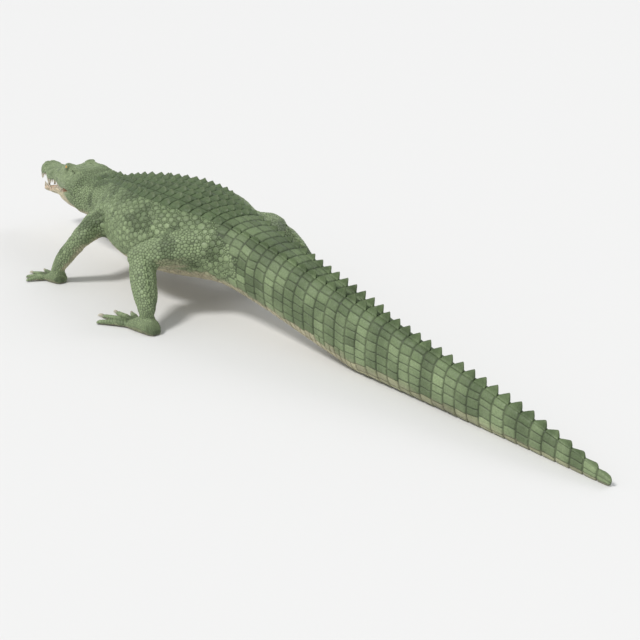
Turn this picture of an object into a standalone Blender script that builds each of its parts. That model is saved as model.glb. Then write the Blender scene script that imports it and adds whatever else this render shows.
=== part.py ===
"""Saltwater crocodile, an adult male 4.4 m long, standing still with its jaws a little apart.

Metres, +Z up. The head points to -Y and the animal's left side is +X. The origin is on the floor under
the middle of its length. A place along the body is its distance s behind the tip of the snout.
"""

import math

import bmesh
import bpy
from mathutils import Vector

# Driving dimensions
TOTAL_LENGTH = 4.40
HEAD_END = 0.66  # the plane between the jaws and the neck
NECK_END = 0.96
TRUNK_END = 2.08
TAIL_CUTS = (2.08, 2.60, 3.12, 3.76, 4.40)
CREST_MERGE = 3.12  # the tail's two crests become one here
GAP = 0.0003  # clearance between neighbouring solids
LEG_CLEARANCE = 0.0005  # between the legs and the trunk and tail
MOUTH_HEIGHT = 0.336  # of the closed mouth's line above the floor
GAPE = math.radians(7.0)
JAW_JOINT = 0.60
MOUTH_CORNER = 0.53
MOUTH_CLOSES = 0.02  # the length in which the mouth closes behind its corner
LIPS_APART = 0.004
PALATE_VAULT = 0.016
TRUNK_ROWS = 16  # cross rows of back scutes
TAIL_ROWS = (8, 8, 10, 10)  # rings of tail scales in each length

# Places along the body: half-width, top and bottom height
BODY = (
    (0.66, 0.172, 0.450, 0.214),
    (0.80, 0.164, 0.460, 0.200),
    (0.96, 0.196, 0.490, 0.178),
    (1.08, 0.238, 0.516, 0.160),
    (1.30, 0.318, 0.544, 0.142),
    (1.52, 0.356, 0.556, 0.136),
    (1.74, 0.330, 0.551, 0.142),
    (1.94, 0.250, 0.528, 0.160),
    (2.10, 0.204, 0.506, 0.168),
    (2.40, 0.166, 0.450, 0.126),
    (2.75, 0.124, 0.374, 0.052),
    (3.10, 0.088, 0.302, -0.010),
    (3.50, 0.058, 0.224, -0.010),
    (3.90, 0.034, 0.150, -0.008),
    (4.25, 0.014, 0.076, -0.006),
    (4.40, 0.005, 0.034, -0.004),
)
WIDEST = 0.46  # how high up a section its widest point is
ROUNDNESS_TOP, ROUNDNESS_BOTTOM = 2.3, 2.6  # superellipse powers of the back and the belly

# The head, from the snout's tip back: heights are above the closed mouth's line
HEAD_HALF_WIDTH = (
    (0.0, 0.024), (0.012, 0.048), (0.04, 0.066), (0.066, 0.069), (0.092, 0.064), (0.12, 0.074),
    (0.16, 0.089), (0.20, 0.094), (0.26, 0.099), (0.32, 0.111), (0.38, 0.128), (0.44, 0.147),
    (0.50, 0.163), (0.56, 0.173), (0.62, 0.177), (0.66, 0.173),
)
HEAD_TOP = (
    (0.0, 0.028), (0.015, 0.050), (0.04, 0.068), (0.062, 0.069), (0.09, 0.063), (0.13, 0.061),
    (0.20, 0.064), (0.28, 0.075), (0.35, 0.092), (0.40, 0.110), (0.44, 0.120), (0.50, 0.127),
    (0.58, 0.131), (0.62, 0.126), (0.66, 0.113),
)
RIDGE_OUT = (
    (0.0, 0.010), (0.04, 0.036), (0.10, 0.036), (0.20, 0.044), (0.30, 0.050), (0.38, 0.058),
    (0.44, 0.070), (0.50, 0.076), (0.60, 0.086), (0.66, 0.092),
)
RIDGE_RISE = (
    (0.0, -0.004), (0.04, -0.003), (0.10, -0.004), (0.20, 0.002), (0.30, 0.007), (0.37, 0.009),
    (0.405, 0.012), (0.435, 0.022), (0.46, 0.018), (0.50, 0.006), (0.60, 0.002), (0.66, -0.006),
)
HOLLOW = ((0.0, 1.0), (0.28, 1.0), (0.40, 1.7), (0.46, 2.3), (0.60, 2.3), (0.66, 1.2))  # of the side
LIP = (
    (0.0, 0.003), (0.03, -0.005), (0.06, -0.003), (0.092, 0.005), (0.125, -0.001), (0.165, -0.009),
    (0.21, -0.004), (0.27, 0.005), (0.33, 0.002), (0.39, -0.006), (0.45, 0.002), (0.50, 0.011),
    (0.53, 0.016), (0.60, 0.010), (0.66, 0.0),
)
JAW_BOTTOM = (
    (0.0, -0.030), (0.02, -0.044), (0.06, -0.050), (0.12, -0.048), (0.20, -0.052), (0.30, -0.064),
    (0.40, -0.084), (0.50, -0.106), (0.58, -0.118), (0.66, -0.122),
)
MOUTH_SUNK = 0.012  # of the mouth's floor under the jaw's rim
TONGUE = (0.12, 0.52)
TONGUE_THICKNESS = 0.011
TONGUE_SHARE = 0.56  # of the jaw's half-width
JAW_INSET = ((0.0, 0.010), (0.25, 0.008), (0.45, 0.002), (0.66, 0.0))
HEAD_RINGS = 20  # across the head, the lower jaw and the tongue, at the same places

EYE = (0.077, 0.436, 0.115)  # out from the middle, behind the snout's tip, above the mouth line
EYE_RADIUS = 0.0205

# Teeth: how many on each side, where the first and last stand, and their length along the jaw
UPPER_TEETH = 17
UPPER_ROW = (0.014, 0.470)
UPPER_TOOTH_LENGTH = (
    (0.0, 0.020), (0.035, 0.026), (0.06, 0.020), (0.092, 0.010), (0.12, 0.018), (0.165, 0.034),
    (0.21, 0.020), (0.27, 0.014), (0.36, 0.018), (0.47, 0.010),
)
LOWER_TEETH = 14
LOWER_ROW = (0.012, 0.450)
LOWER_TOOTH_LENGTH = (
    (0.0, 0.026), (0.03, 0.018), (0.06, 0.016), (0.09, 0.036), (0.12, 0.014), (0.22, 0.013),
    (0.30, 0.018), (0.38, 0.014), (0.46, 0.009),
)
ROW_INSET = 0.07  # of the tooth rows from the lips, as a share of the half-width
TOOTH_SIDES = 3
TOOTH_LEAN = 0.1  # outwards, as a share of the length

# Legs on the left side: joints as out, s, up, with the limb's radius there
FORELEG = (
    ((0.130, 1.100, 0.335), 0.098),
    ((0.280, 1.140, 0.312), 0.080),
    ((0.405, 1.175, 0.258), 0.060),
    ((0.462, 1.115, 0.168), 0.054),
    ((0.498, 1.060, 0.085), 0.043),
)
HINDLEG = (
    ((0.090, 1.995, 0.345), 0.115),
    ((0.270, 1.905, 0.345), 0.102),
    ((0.410, 1.810, 0.312), 0.074),
    ((0.462, 1.910, 0.210), 0.070),
    ((0.502, 1.995, 0.110), 0.050),
)
LEG_SIDES = 8
LEG_RINGS = 2  # between two joints of the lists above
LIMB_DEPTH = 0.94  # of a limb's section, against its breadth
LIMB_ROUNDING = (0.60, 0.95)  # how far past a limb's end its last rings stand, in radii
# Feet: the palm from heel to ball as out and s, then each toe's turn outwards, length and claw
FOREFOOT = {
    "heel": (0.500, 1.085), "ball": (0.512, 0.995), "half_width": 0.050, "height": 0.066,
    "toe_radius": 0.0165, "web": 0.40,
    "toes": ((-34, 0.092, 0.030), (-10, 0.124, 0.034), (13, 0.132, 0.032), (38, 0.116, 0), (66, 0.094, 0)),
}
HINDFOOT = {
    "heel": (0.508, 2.045), "ball": (0.522, 1.905), "half_width": 0.054, "height": 0.080,
    "toe_radius": 0.0195, "web": 0.76,
    "toes": ((-20, 0.140, 0.036), (-3, 0.190, 0.042), (15, 0.200, 0.040), (36, 0.172, 0)),
}
PALM = (  # how far along from heel to ball, and the width and height there as shares
    (-0.24, 0.48, 0.44), (-0.04, 0.86, 0.86), (0.50, 1.05, 1.0), (1.25, 1.0, 0.38),
)
PALM_SIDES = 8
TOE_SIDES = 6
WEB_THICKNESS = 0.007
SOLE_STEP = 0.0003  # each toe's sole lies this much higher than the one before

OLIVE = (0.225, 0.290, 0.165, 1)
CREAM = (0.560, 0.500, 0.340, 1)
AMBER = (0.560, 0.350, 0.070, 1)
HORN = (0.560, 0.540, 0.460, 1)
PINK = (0.520, 0.300, 0.230, 1)


def y_at(s):
    return s - TOTAL_LENGTH / 2


def along(stations, s, column=1):
    """A smooth curve through the stations, read at s."""
    last = len(stations) - 1
    if s <= stations[0][0]:
        return stations[0][column]
    if s >= stations[last][0]:
        return stations[last][column]
    i = max(k for k in range(last) if stations[k][0] <= s)

    def slope(k):
        before, after = stations[max(k - 1, 0)], stations[min(k + 1, last)]
        return (after[column] - before[column]) / (after[0] - before[0])

    span = stations[i + 1][0] - stations[i][0]
    t = (s - stations[i][0]) / span
    start, change = stations[i][column], stations[i + 1][column] - stations[i][column]
    enter, leave = slope(i) * span - change, slope(i + 1) * span - change
    return start + t * change + t * (1 - t) * ((1 - t) * enter - t * leave)


def ease(t):
    t = min(max(t, 0.0), 1.0)
    return t * t * (3 - 2 * t)


def material(name, colour, roughness=0.6):
    made = bpy.data.materials.get(name)
    if made is None:
        made = bpy.data.materials.new(name)
        made.use_nodes = True
        shader = made.node_tree.nodes["Principled BSDF"]
        shader.inputs["Base Color"].default_value = colour
        shader.inputs["Roughness"].default_value = roughness
        shader.inputs["Metallic"].default_value = 0.0
    return made


def solid(name, mesh_data, colour, helper=False, roughness=0.6):
    """An object from a bmesh, its faces turned outwards. A helper is a cutter or an ingredient."""
    bmesh.ops.recalc_face_normals(mesh_data, faces=mesh_data.faces)
    mesh = bpy.data.meshes.new(name)
    mesh_data.to_mesh(mesh)
    mesh_data.free()
    mesh.shade_smooth()
    mesh.set_sharp_from_angle(angle=math.radians(35))
    obj = bpy.data.objects.new(name, mesh)
    bpy.context.collection.objects.link(obj)
    if helper:
        obj.hide_render = True
        obj.display_type = "WIRE"
    else:
        mesh.materials.append(material(colour[0], colour[1], roughness))
    return obj


def loft(rings):
    """A closed skin over rings of equal point counts, flat at both ends."""
    made = bmesh.new()
    loops = [[made.verts.new(p) for p in ring] for ring in rings]
    count = len(rings[0])
    for near, far in zip(loops, loops[1:]):
        for i in range(count):
            j = (i + 1) % count
            made.faces.new((near[i], near[j], far[j], far[i]))
    made.faces.new(list(reversed(loops[0])))
    made.faces.new(loops[-1])
    return made


def boolean(obj, other, operation):
    step = obj.modifiers.new(operation.title() + " " + other.name, "BOOLEAN")
    step.operation = operation
    step.solver = "EXACT"
    step.object = other
    return step


def whole_ring(half, s):
    """A ring from its left half, which runs from the top to the bottom."""
    right = [(-x, z) for x, z in reversed(half[1:-1])]
    return [Vector((x, y_at(s), max(z, 0.0))) for x, z in half + right]


def section(s, expand=0.0):
    """Half-width, top, middle and bottom height of the body at s."""
    half_width = along(BODY, s, 1) + expand
    top = along(BODY, s, 2) + expand
    bottom = along(BODY, s, 3) - expand
    return half_width, top, bottom + WIDEST * (top - bottom), bottom


def back_height(s, x, expand=0.0):
    half_width, top, middle, _ = section(s, expand)
    share = min(abs(x) / half_width, 1.0)
    return middle + (top - middle) * (1 - share**ROUNDNESS_TOP) ** (1 / ROUNDNESS_TOP)


def flank(s, x_from, steps, expand=0.0):
    """Points from x_from on the back, down the side to the belly's middle, without the first."""
    half_width, top, middle, bottom = section(s, expand)
    start = math.asin(min(x_from / half_width, 1.0) ** (ROUNDNESS_TOP / 2))
    points = []
    for k in range(1, steps + 1):
        turn = start + (math.pi - start) * k / steps
        power = ROUNDNESS_TOP if turn < math.pi / 2 else ROUNDNESS_BOTTOM
        x = half_width * max(math.sin(turn), 0.0) ** (2 / power)
        rise = abs(math.cos(turn)) ** (2 / power)
        z = middle + (top - middle) * rise if turn < math.pi / 2 else middle - (middle - bottom) * rise
        points.append((x if k < steps else 0.0, z))
    return points


# ---- trunk and neck: scute keels stand on three lines on each side of the back
BACK_COLUMNS = 6
KEEL_COLUMNS = (1, 3, 5)
NUCHAL_COLUMNS = (2, 5)
KEEL_RISE = ((0.96, 0.014), (1.20, 0.024), (1.80, 0.026), (2.08, 0.022))
KEEL_APEX = 0.65  # how far along its scute a keel is highest
NUCHAL_RISE = 0.026
FLANK_STEPS = 5
TAIL_FLANK_STEPS = 4
SHIELD_SHARE = ((0.66, 0.50), (0.96, 0.56), (1.20, 0.62), (1.80, 0.66), (2.08, 0.62))


def trunk_half(s, keel=0.0, expand=0.0, keeled=KEEL_COLUMNS):
    """The left half of a trunk section. keel raises the columns between the scute edges."""
    shield = along(SHIELD_SHARE, s) * along(BODY, s, 1)
    points = []
    for k in range(BACK_COLUMNS + 1):
        x = shield * k / BACK_COLUMNS
        points.append((x, back_height(s, x, expand) + (keel if k in keeled else 0.0)))
    return points + flank(s, shield, FLANK_STEPS, expand)


def rows_between(start, end, rows, apex):
    """(s, raised) for the low and the high ring of each scute row, and the end."""
    pitch = (end - start) / rows
    found = []
    for k in range(rows):
        found += [(start + k * pitch, 0), (start + (k + apex) * pitch, 1)]
    return [*found, (end, 0)]


def apart(places, start, end):
    """The same places with the first and last drawn in, which leaves the gap to the neighbours."""
    return [(min(max(s, start + GAP / 2), end - GAP / 2), raised) for s, raised in places]


def overlong(places):
    """The same places with the first and last moved outwards past the neighbours' ends."""
    return [(places[0][0] - 2 * GAP, 0), *places[1:-1], (places[-1][0] + 2 * GAP, 0)]


def body_length(name, half, places):
    """One length of the trunk or tail. half gives half a section from its place and raised or not."""
    return solid(name, loft([whole_ring(half(s, raised), s) for s, raised in places]), ("hide", OLIVE))


def body_cutter(name, half, places):
    """The same length a little wider and longer, which makes room for it in the legs."""
    rings = [whole_ring(half(s, raised, LEG_CLEARANCE), s) for s, raised in overlong(places)]
    return solid(name + "_cutter", loft(rings), None, helper=True)


def trunk_section(s, raised, expand=0.0):
    return trunk_half(s, raised * along(KEEL_RISE, s), expand)


def make_trunk():
    places = apart(rows_between(NECK_END, TRUNK_END, TRUNK_ROWS, KEEL_APEX), NECK_END, TRUNK_END)
    body_length("trunk", trunk_section, places)
    return body_cutter("trunk", trunk_section, places)


def make_neck():
    """The neck with its shield of large scutes, four in a square and two beside the front pair."""
    shield_rows = ((HEAD_END, 0), (0.735, 0), (0.790, 2), (0.812, 0), (0.865, 1), (0.887, 0), (NECK_END, 0))
    places = apart(shield_rows, HEAD_END, NECK_END)

    def neck_half(s, keels):
        return trunk_half(s, NUCHAL_RISE, keeled=NUCHAL_COLUMNS[:keels])

    body_length("neck", neck_half, places)


# ---- tail: two crests of blades run together into one
CREST_OUT = ((2.08, 0.112), (2.40, 0.080), (2.75, 0.048), (3.12, 0.020))
CREST_RISE = (
    (2.08, 0.020), (2.40, 0.030), (2.80, 0.044), (3.11, 0.056),
    (3.20, 0.076), (3.60, 0.064), (4.00, 0.042), (4.38, 0.010),
)
CREST_HALF_THICKNESS = 0.010
CREST_APEX = 0.80


def twin_crest_half(s, raised, expand=0.0):
    out = along(CREST_OUT, s)
    side = min(CREST_HALF_THICKNESS, out / 2)
    points = [(x, back_height(s, x, expand)) for x in (0.0, out - side, out, out + side)]
    points[2] = (out, points[2][1] + raised * along(CREST_RISE, s))
    return points + flank(s, out + side, TAIL_FLANK_STEPS, expand)


def single_crest_half(s, raised):
    side = min(CREST_HALF_THICKNESS, 0.5 * along(BODY, s, 1))
    crest = back_height(s, 0.0) + raised * along(CREST_RISE, s)
    return [(0.0, crest), (side, back_height(s, side))] + flank(s, side, TAIL_FLANK_STEPS)


def make_tail():
    for number, rows in enumerate(TAIL_ROWS):
        start, end = TAIL_CUTS[number : number + 2]
        half = twin_crest_half if end <= CREST_MERGE else single_crest_half
        free_end = GAP / 2 if end == TOTAL_LENGTH else 0.0
        places = apart(rows_between(start, end, rows, CREST_APEX), start, end + free_end)
        body_length(f"tail_{number + 1}", half, places)
        if number == 0:
            cutter = body_cutter("tail", half, places)
    return cutter


# ---- head
def jaw_drop(s):
    return math.tan(GAPE) * max(JAW_JOINT - s, 0.0)


def mouth_open(s):
    """1 along the open mouth and 0 behind its corner."""
    return 1 - ease((s - MOUTH_CORNER) / MOUTH_CLOSES)


def mouth_gap(s):
    """How far the lower jaw's upper side has dropped: it closes just behind the mouth's corner."""
    return GAP + (jaw_drop(s) + LIPS_APART) * mouth_open(s)


def upper_head_half(s):
    """The left half of a head section, from the top's middle to the lip and along the palate."""
    width, top, lip = along(HEAD_HALF_WIDTH, s), along(HEAD_TOP, s), along(LIP, s)
    ridge_x = min(along(RIDGE_OUT, s), 0.7 * width)
    ridge_z = top + along(RIDGE_RISE, s)
    widest_z = lip + 0.30 * (ridge_z - lip)
    hollow = along(HOLLOW, s)
    points = [(0.0, top), (0.5 * ridge_x, top + 0.25 * (ridge_z - top)), (ridge_x, ridge_z)]
    for k in range(1, 5):
        turn = math.pi / 2 * k / 4
        x = ridge_x + (width - ridge_x) * math.sin(turn) ** hollow
        points.append((x, widest_z + (ridge_z - widest_z) * math.cos(turn) ** hollow))
    vault = PALATE_VAULT * mouth_open(s)
    points += [(0.97 * width, lip + 0.25 * vault), (0.90 * width, lip)]
    points += [(0.62 * width, lip + vault), (0.0, lip + 1.1 * vault)]
    return [(x, z + MOUTH_HEIGHT) for x, z in points]


def lower_half_width(s):
    return along(HEAD_HALF_WIDTH, s) - along(JAW_INSET, s)


def lower_jaw_half(s):
    """The left half of a lower jaw section, from the mouth's floor over the rim to the throat."""
    width = lower_half_width(s)
    rim = along(LIP, s) - mouth_gap(s)
    bottom = along(JAW_BOTTOM, s) - jaw_drop(s)
    sunk = MOUTH_SUNK * mouth_open(s)
    points = [(0.0, rim - sunk), (0.60 * width, rim - sunk), (0.90 * width, rim)]
    side = rim - 0.15 * (rim - bottom)
    points += [(width, side)]
    for k in range(1, 5):
        turn = math.pi / 2 * k / 4
        x = width * math.cos(turn) ** 0.75
        points.append((x if k < 4 else 0.0, side - (side - bottom) * math.sin(turn)))
    return [(x, z + MOUTH_HEIGHT) for x, z in points]


def head_stations():
    """The places of the head's rings, closer together near the snout's tip."""
    even = [k / (HEAD_RINGS - 1) for k in range(HEAD_RINGS)]
    return [min(HEAD_END * share**1.25, HEAD_END - GAP / 2) for share in even]


def tooth(into, place, length, lean):
    """Adds a conical tooth at place to a mesh. It points down where its length is negative."""
    radius = 0.26 * abs(length) + 0.0015
    sunk = place - Vector((0, 0, 0.3 * length))
    base = []
    for k in range(TOOTH_SIDES):
        turn = 2 * math.pi * k / TOOTH_SIDES
        base.append(into.verts.new(sunk + Vector((radius * math.cos(turn), radius * math.sin(turn), 0))))
    tip = into.verts.new(place + Vector((lean, 0, length)))
    for k in range(TOOTH_SIDES):
        into.faces.new((base[k], base[(k + 1) % TOOTH_SIDES], tip))
    into.faces.new(base)


def add_teeth(jaw, name, count, row, lengths, half_width, height, direction):
    """Joins both rows of teeth of one jaw to it."""
    teeth = bmesh.new()
    for k in range(count):
        s = row[0] + (row[1] - row[0]) * (k / (count - 1)) ** 1.1
        length = direction * along(lengths, s)
        out = (1 - ROW_INSET) * half_width(s)
        for side in (1, -1):
            place = Vector((side * out, y_at(s), MOUTH_HEIGHT + height(s)))
            tooth(teeth, place, length, side * TOOTH_LEAN * abs(length))
    boolean(jaw, solid(name, teeth, None, helper=True), "UNION")


def ball(name, centre, radius, colour, helper=False, detail=2):
    made = bmesh.new()
    bmesh.ops.create_icosphere(made, subdivisions=detail, radius=radius)
    bmesh.ops.translate(made, verts=made.verts, vec=centre)
    return solid(name, made, colour, helper, roughness=0.15)


def make_head():
    head = solid("head", loft([whole_ring(upper_head_half(s), s) for s in head_stations()]), ("hide", OLIVE))
    add_teeth(
        head, "upper_teeth", UPPER_TEETH, UPPER_ROW, UPPER_TOOTH_LENGTH,
        lambda s: along(HEAD_HALF_WIDTH, s), lambda s: along(LIP, s), -1,
    )
    for side, word in ((1, "left"), (-1, "right")):
        centre = Vector((side * EYE[0], y_at(EYE[1]), MOUTH_HEIGHT + EYE[2]))
        socket = ball("socket_" + word, centre, EYE_RADIUS + GAP, None, helper=True)
        boolean(head, socket, "DIFFERENCE")
        ball("eye_" + word, centre, EYE_RADIUS, ("eye", AMBER))


def make_lower_jaw():
    rings = [whole_ring(lower_jaw_half(s), s) for s in head_stations()]
    jaw = solid("lower_jaw", loft(rings), ("throat_hide", CREAM))
    add_teeth(
        jaw, "lower_teeth", LOWER_TEETH, LOWER_ROW, LOWER_TOOTH_LENGTH,
        lower_half_width, lambda s: along(LIP, s) - mouth_gap(s), 1,
    )


def make_tongue():
    """The broad tongue, grown to the floor of the mouth. Its rings stand over the jaw's own."""
    places = [s for s in head_stations() if TONGUE[0] < s < TONGUE[1]]
    rings = []
    for s in places:
        share = 2 * (s - TONGUE[0]) / (TONGUE[1] - TONGUE[0]) - 1
        swell = math.sqrt(1 - share**4)
        half = TONGUE_SHARE * swell * lower_half_width(s)
        floor = MOUTH_HEIGHT + along(LIP, s) - mouth_gap(s) - MOUTH_SUNK + GAP
        thick = TONGUE_THICKNESS * swell
        profile = [(0.0, floor + thick), (0.6 * half, floor + 0.9 * thick), (half, floor + 0.35 * thick)]
        rings.append(whole_ring([*profile, (0.92 * half, floor), (0.0, floor)], s))
    solid("tongue", loft(rings), ("tongue", PINK))


# ---- legs
def leg_path(joints, side):
    """(place, radius) along a smooth curve through the joints, LEG_RINGS to a joint."""
    places = [Vector((side * out, y_at(s), up)) for (out, s, up), _ in joints]
    radii = [radius for _, radius in joints]
    found = []
    for i in range(len(joints) - 1):
        before, after = places[max(i - 1, 0)], places[min(i + 2, len(joints) - 1)]
        start, end = places[i], places[i + 1]
        enter, leave = (end - before) / 2, (after - start) / 2
        for k in range(LEG_RINGS):
            t = k / LEG_RINGS
            h = t * t * (3 - 2 * t)
            point = start.lerp(end, h) + enter * t * (1 - t) ** 2 - leave * t * t * (1 - t)
            found.append((point, radii[i] + (radii[i + 1] - radii[i]) * t))
    return [*found, (places[-1], radii[-1])]


def limb(joints, side, expand=0.0, rounded=(True, True)):
    """One length of a leg. An end that isn't rounded is drawn in, to stay inside its neighbour."""
    path = leg_path(joints, side)
    if not rounded[0]:
        path[0] = (path[0][0], 0.82 * path[0][1])
    for at_end in (False, True):
        if not rounded[at_end]:
            continue
        (last, radius), (inner, _) = (path[-1], path[-2]) if at_end else (path[0], path[1])
        way = (last - inner).normalized()
        caps = [(last + way * radius * out, radius * math.sqrt(1 - out * out)) for out in LIMB_ROUNDING]
        path = path + caps if at_end else caps[::-1] + path
    rings = []
    for i, (place, radius) in enumerate(path):
        forward = (path[min(i + 1, len(path) - 1)][0] - path[max(i - 1, 0)][0]).normalized()
        level = forward.cross(Vector((0, 0, 1))).normalized()
        steep = level.cross(forward).normalized()
        reach = radius + expand
        rings.append([
            place + level * reach * math.cos(2 * math.pi * k / LEG_SIDES)
            + steep * LIMB_DEPTH * reach * math.sin(2 * math.pi * k / LEG_SIDES) for k in range(LEG_SIDES)
        ])
    return loft(rings)


def make_leg(names, joints, side, foot, torsos):
    """A leg in two lengths, parted at its middle joint, and its foot with toes and claws."""
    upper_name, lower_name, foot_name, claw_name = names
    upper = solid(upper_name, limb(joints[:3], side), ("hide", OLIVE))
    for torso in torsos:
        boolean(upper, torso, "DIFFERENCE")
    lower = solid(lower_name, limb(joints[2:], side, rounded=(False, True)), ("hide", OLIVE))
    knee = solid(upper_name + "_cutter", limb(joints[:3], side, GAP), None, helper=True)
    boolean(lower, knee, "DIFFERENCE")
    cutter = solid(lower_name + "_cutter", limb(joints[2:], side, GAP, (False, True)), None, helper=True)
    make_foot(foot_name, claw_name, foot, side, cutter)


def shifted(ring, way):
    return [point + way for point in ring]


def flat_loft(sections, floor=0.0):
    """A loft whose points below a level are laid on it."""
    return loft([[Vector((p.x, p.y, max(p.z, floor))) for p in ring] for ring in sections])


def upright_ring(centre, level, wide, tall, sides):
    """A ring across a toe or claw, its first corner half a side up from level."""
    turns = [2 * math.pi * (j + 0.5) / sides for j in range(sides)]
    return [centre + level * wide * math.cos(a) + Vector((0, 0, tall * math.sin(a))) for a in turns]


def toe_rings(start, way, length, radius):
    """Rings of a toe that rises over its knuckle and comes down to its tip."""
    level = Vector((way.y, -way.x, 0))
    rings = []
    for share, size in ((0.0, 1.0), (0.40, 0.90), (0.90, 0.72), (1.0, 0.50)):
        lift = 0.8 * radius * size + 0.012 * math.sin(math.pi * share) * (1 - share)
        centre = start + way * length * share + Vector((0, 0, lift))
        rings.append(upright_ring(centre, level, radius * size, radius * size, TOE_SIDES))
    return rings


def claw_rings(start, way, length, radius):
    """Rings of a claw that curves down to just over the floor."""
    level = Vector((way.y, -way.x, 0))
    rings = []
    for share in (0.0, 0.45, 1.0):
        size = radius * (1 - share) ** 0.8 + 0.0008
        sink = (start.z - 0.004) * share * share
        rise = 0.003 * math.sin(math.pi * share) - sink
        centre = start + way * (GAP + length * share) + Vector((0, 0, rise))
        rings.append(upright_ring(centre, level, 0.8 * size, size, 5))
    return rings


def make_foot(name, claw_name, foot, side, ankle):
    heel = Vector((side * foot["heel"][0], y_at(foot["heel"][1]), 0))
    ball_of_foot = Vector((side * foot["ball"][0], y_at(foot["ball"][1]), 0))
    forward = (ball_of_foot - heel).normalized()
    level = Vector((forward.y, -forward.x, 0))
    palm = []
    for share, wide, tall in PALM:
        centre = heel.lerp(ball_of_foot, share)
        half, height = foot["half_width"] * wide, foot["height"] * tall
        palm.append([
            centre + level * half * math.cos(2 * math.pi * j / PALM_SIDES)
            + Vector((0, 0, 0.40 * height + 0.60 * height * math.sin(2 * math.pi * j / PALM_SIDES)))
            for j in range(PALM_SIDES)
        ])
    obj = solid(name, flat_loft(palm), ("hide", OLIVE))
    tips = []
    for number, (turn, length, claw) in enumerate(foot["toes"]):
        angle = math.radians(turn) * side
        way = Vector((math.sin(angle), -math.cos(angle), 0))
        root = ball_of_foot + Vector((way.x, way.y, 0)) * 0.2 * foot["half_width"]
        root += Vector((side * foot["half_width"] * 0.75 * math.sin(math.radians(turn)), 0, 0))
        tips.append(root + way * length * foot["web"])
        toe = flat_loft(toe_rings(root, way, length, foot["toe_radius"]), SOLE_STEP * (number + 1))
        boolean(obj, solid(f"{name}_toe_{number + 1}", toe, None, helper=True), "UNION")
        if claw:
            end = root + way * (length + GAP) + Vector((0, 0, 0.50 * foot["toe_radius"]))
            horn = loft(claw_rings(end, way, claw, 0.44 * foot["toe_radius"]))
            solid(f"{claw_name}_{number + 1}", horn, ("horn", HORN), roughness=0.35)
    boolean(obj, make_web(name + "_web", ball_of_foot, tips), "UNION")
    boolean(obj, ankle, "DIFFERENCE")


def make_web(name, root, tips):
    """The skin between the toes, cut in between each two of them."""
    outline = [root.copy()]
    for i, tip in enumerate(tips):
        outline.append(tip)
        if i + 1 < len(tips):
            outline.append(root + ((tip + tips[i + 1]) / 2 - root) * 0.86)
    base = [Vector((p.x, p.y, 0.004)) for p in outline]
    return solid(name, loft([base, shifted(base, Vector((0, 0, WEB_THICKNESS)))]), None, helper=True)


def make_legs(trunk, tail):
    for side, word in ((1, "left"), (-1, "right")):
        names = [f"{part}_{word}" for part in ("upper_arm", "forearm", "forefoot", "foreclaw")]
        make_leg(names, FORELEG, side, FOREFOOT, [trunk])
        names = [f"{part}_{word}" for part in ("thigh", "shank", "hindfoot", "hindclaw")]
        make_leg(names, HINDLEG, side, HINDFOOT, [trunk, tail])


def main():
    for obj in list(bpy.data.objects):
        bpy.data.objects.remove(obj)
    make_head()
    make_lower_jaw()
    make_tongue()
    make_neck()
    trunk_cutter = make_trunk()
    tail_cutter = make_tail()
    make_legs(trunk_cutter, tail_cutter)


main()
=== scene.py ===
"""The looks of a saltwater crocodile 4.4 m long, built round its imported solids.

One skin takes the place of all flesh. It is a level surface of a distance field that is worked out from the
solids, and it lies under them by the depth of the scales. The scales are meshes that stand on that skin.
Metres, +Z up. The head points to -Y and the animal's left is +X; s is the distance behind the snout's tip.
"""

import math

import bmesh
import bpy
import numpy as np
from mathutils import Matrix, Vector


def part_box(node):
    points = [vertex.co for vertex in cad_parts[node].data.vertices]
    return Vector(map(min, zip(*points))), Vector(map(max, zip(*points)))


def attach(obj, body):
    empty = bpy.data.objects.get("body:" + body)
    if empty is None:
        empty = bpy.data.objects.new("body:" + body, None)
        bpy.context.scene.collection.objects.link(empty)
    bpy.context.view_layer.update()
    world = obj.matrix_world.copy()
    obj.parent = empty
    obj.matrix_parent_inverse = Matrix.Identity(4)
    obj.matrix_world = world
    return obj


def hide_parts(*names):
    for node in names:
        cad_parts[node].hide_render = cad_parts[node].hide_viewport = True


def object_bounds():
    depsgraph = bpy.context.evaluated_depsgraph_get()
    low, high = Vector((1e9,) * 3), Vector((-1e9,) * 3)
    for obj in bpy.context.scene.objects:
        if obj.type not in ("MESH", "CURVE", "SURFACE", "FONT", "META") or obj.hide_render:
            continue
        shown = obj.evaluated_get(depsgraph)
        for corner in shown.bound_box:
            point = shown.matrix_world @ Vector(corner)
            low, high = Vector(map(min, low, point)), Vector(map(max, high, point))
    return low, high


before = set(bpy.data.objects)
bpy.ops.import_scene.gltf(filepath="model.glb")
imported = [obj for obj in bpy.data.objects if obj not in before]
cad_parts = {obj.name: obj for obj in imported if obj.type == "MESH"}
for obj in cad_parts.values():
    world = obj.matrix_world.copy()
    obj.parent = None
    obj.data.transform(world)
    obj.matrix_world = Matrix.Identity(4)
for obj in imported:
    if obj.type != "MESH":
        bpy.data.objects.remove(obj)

import openvdb as vdb
from mathutils import Vector
from mathutils.kdtree import KDTree

CAD_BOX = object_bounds()

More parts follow.
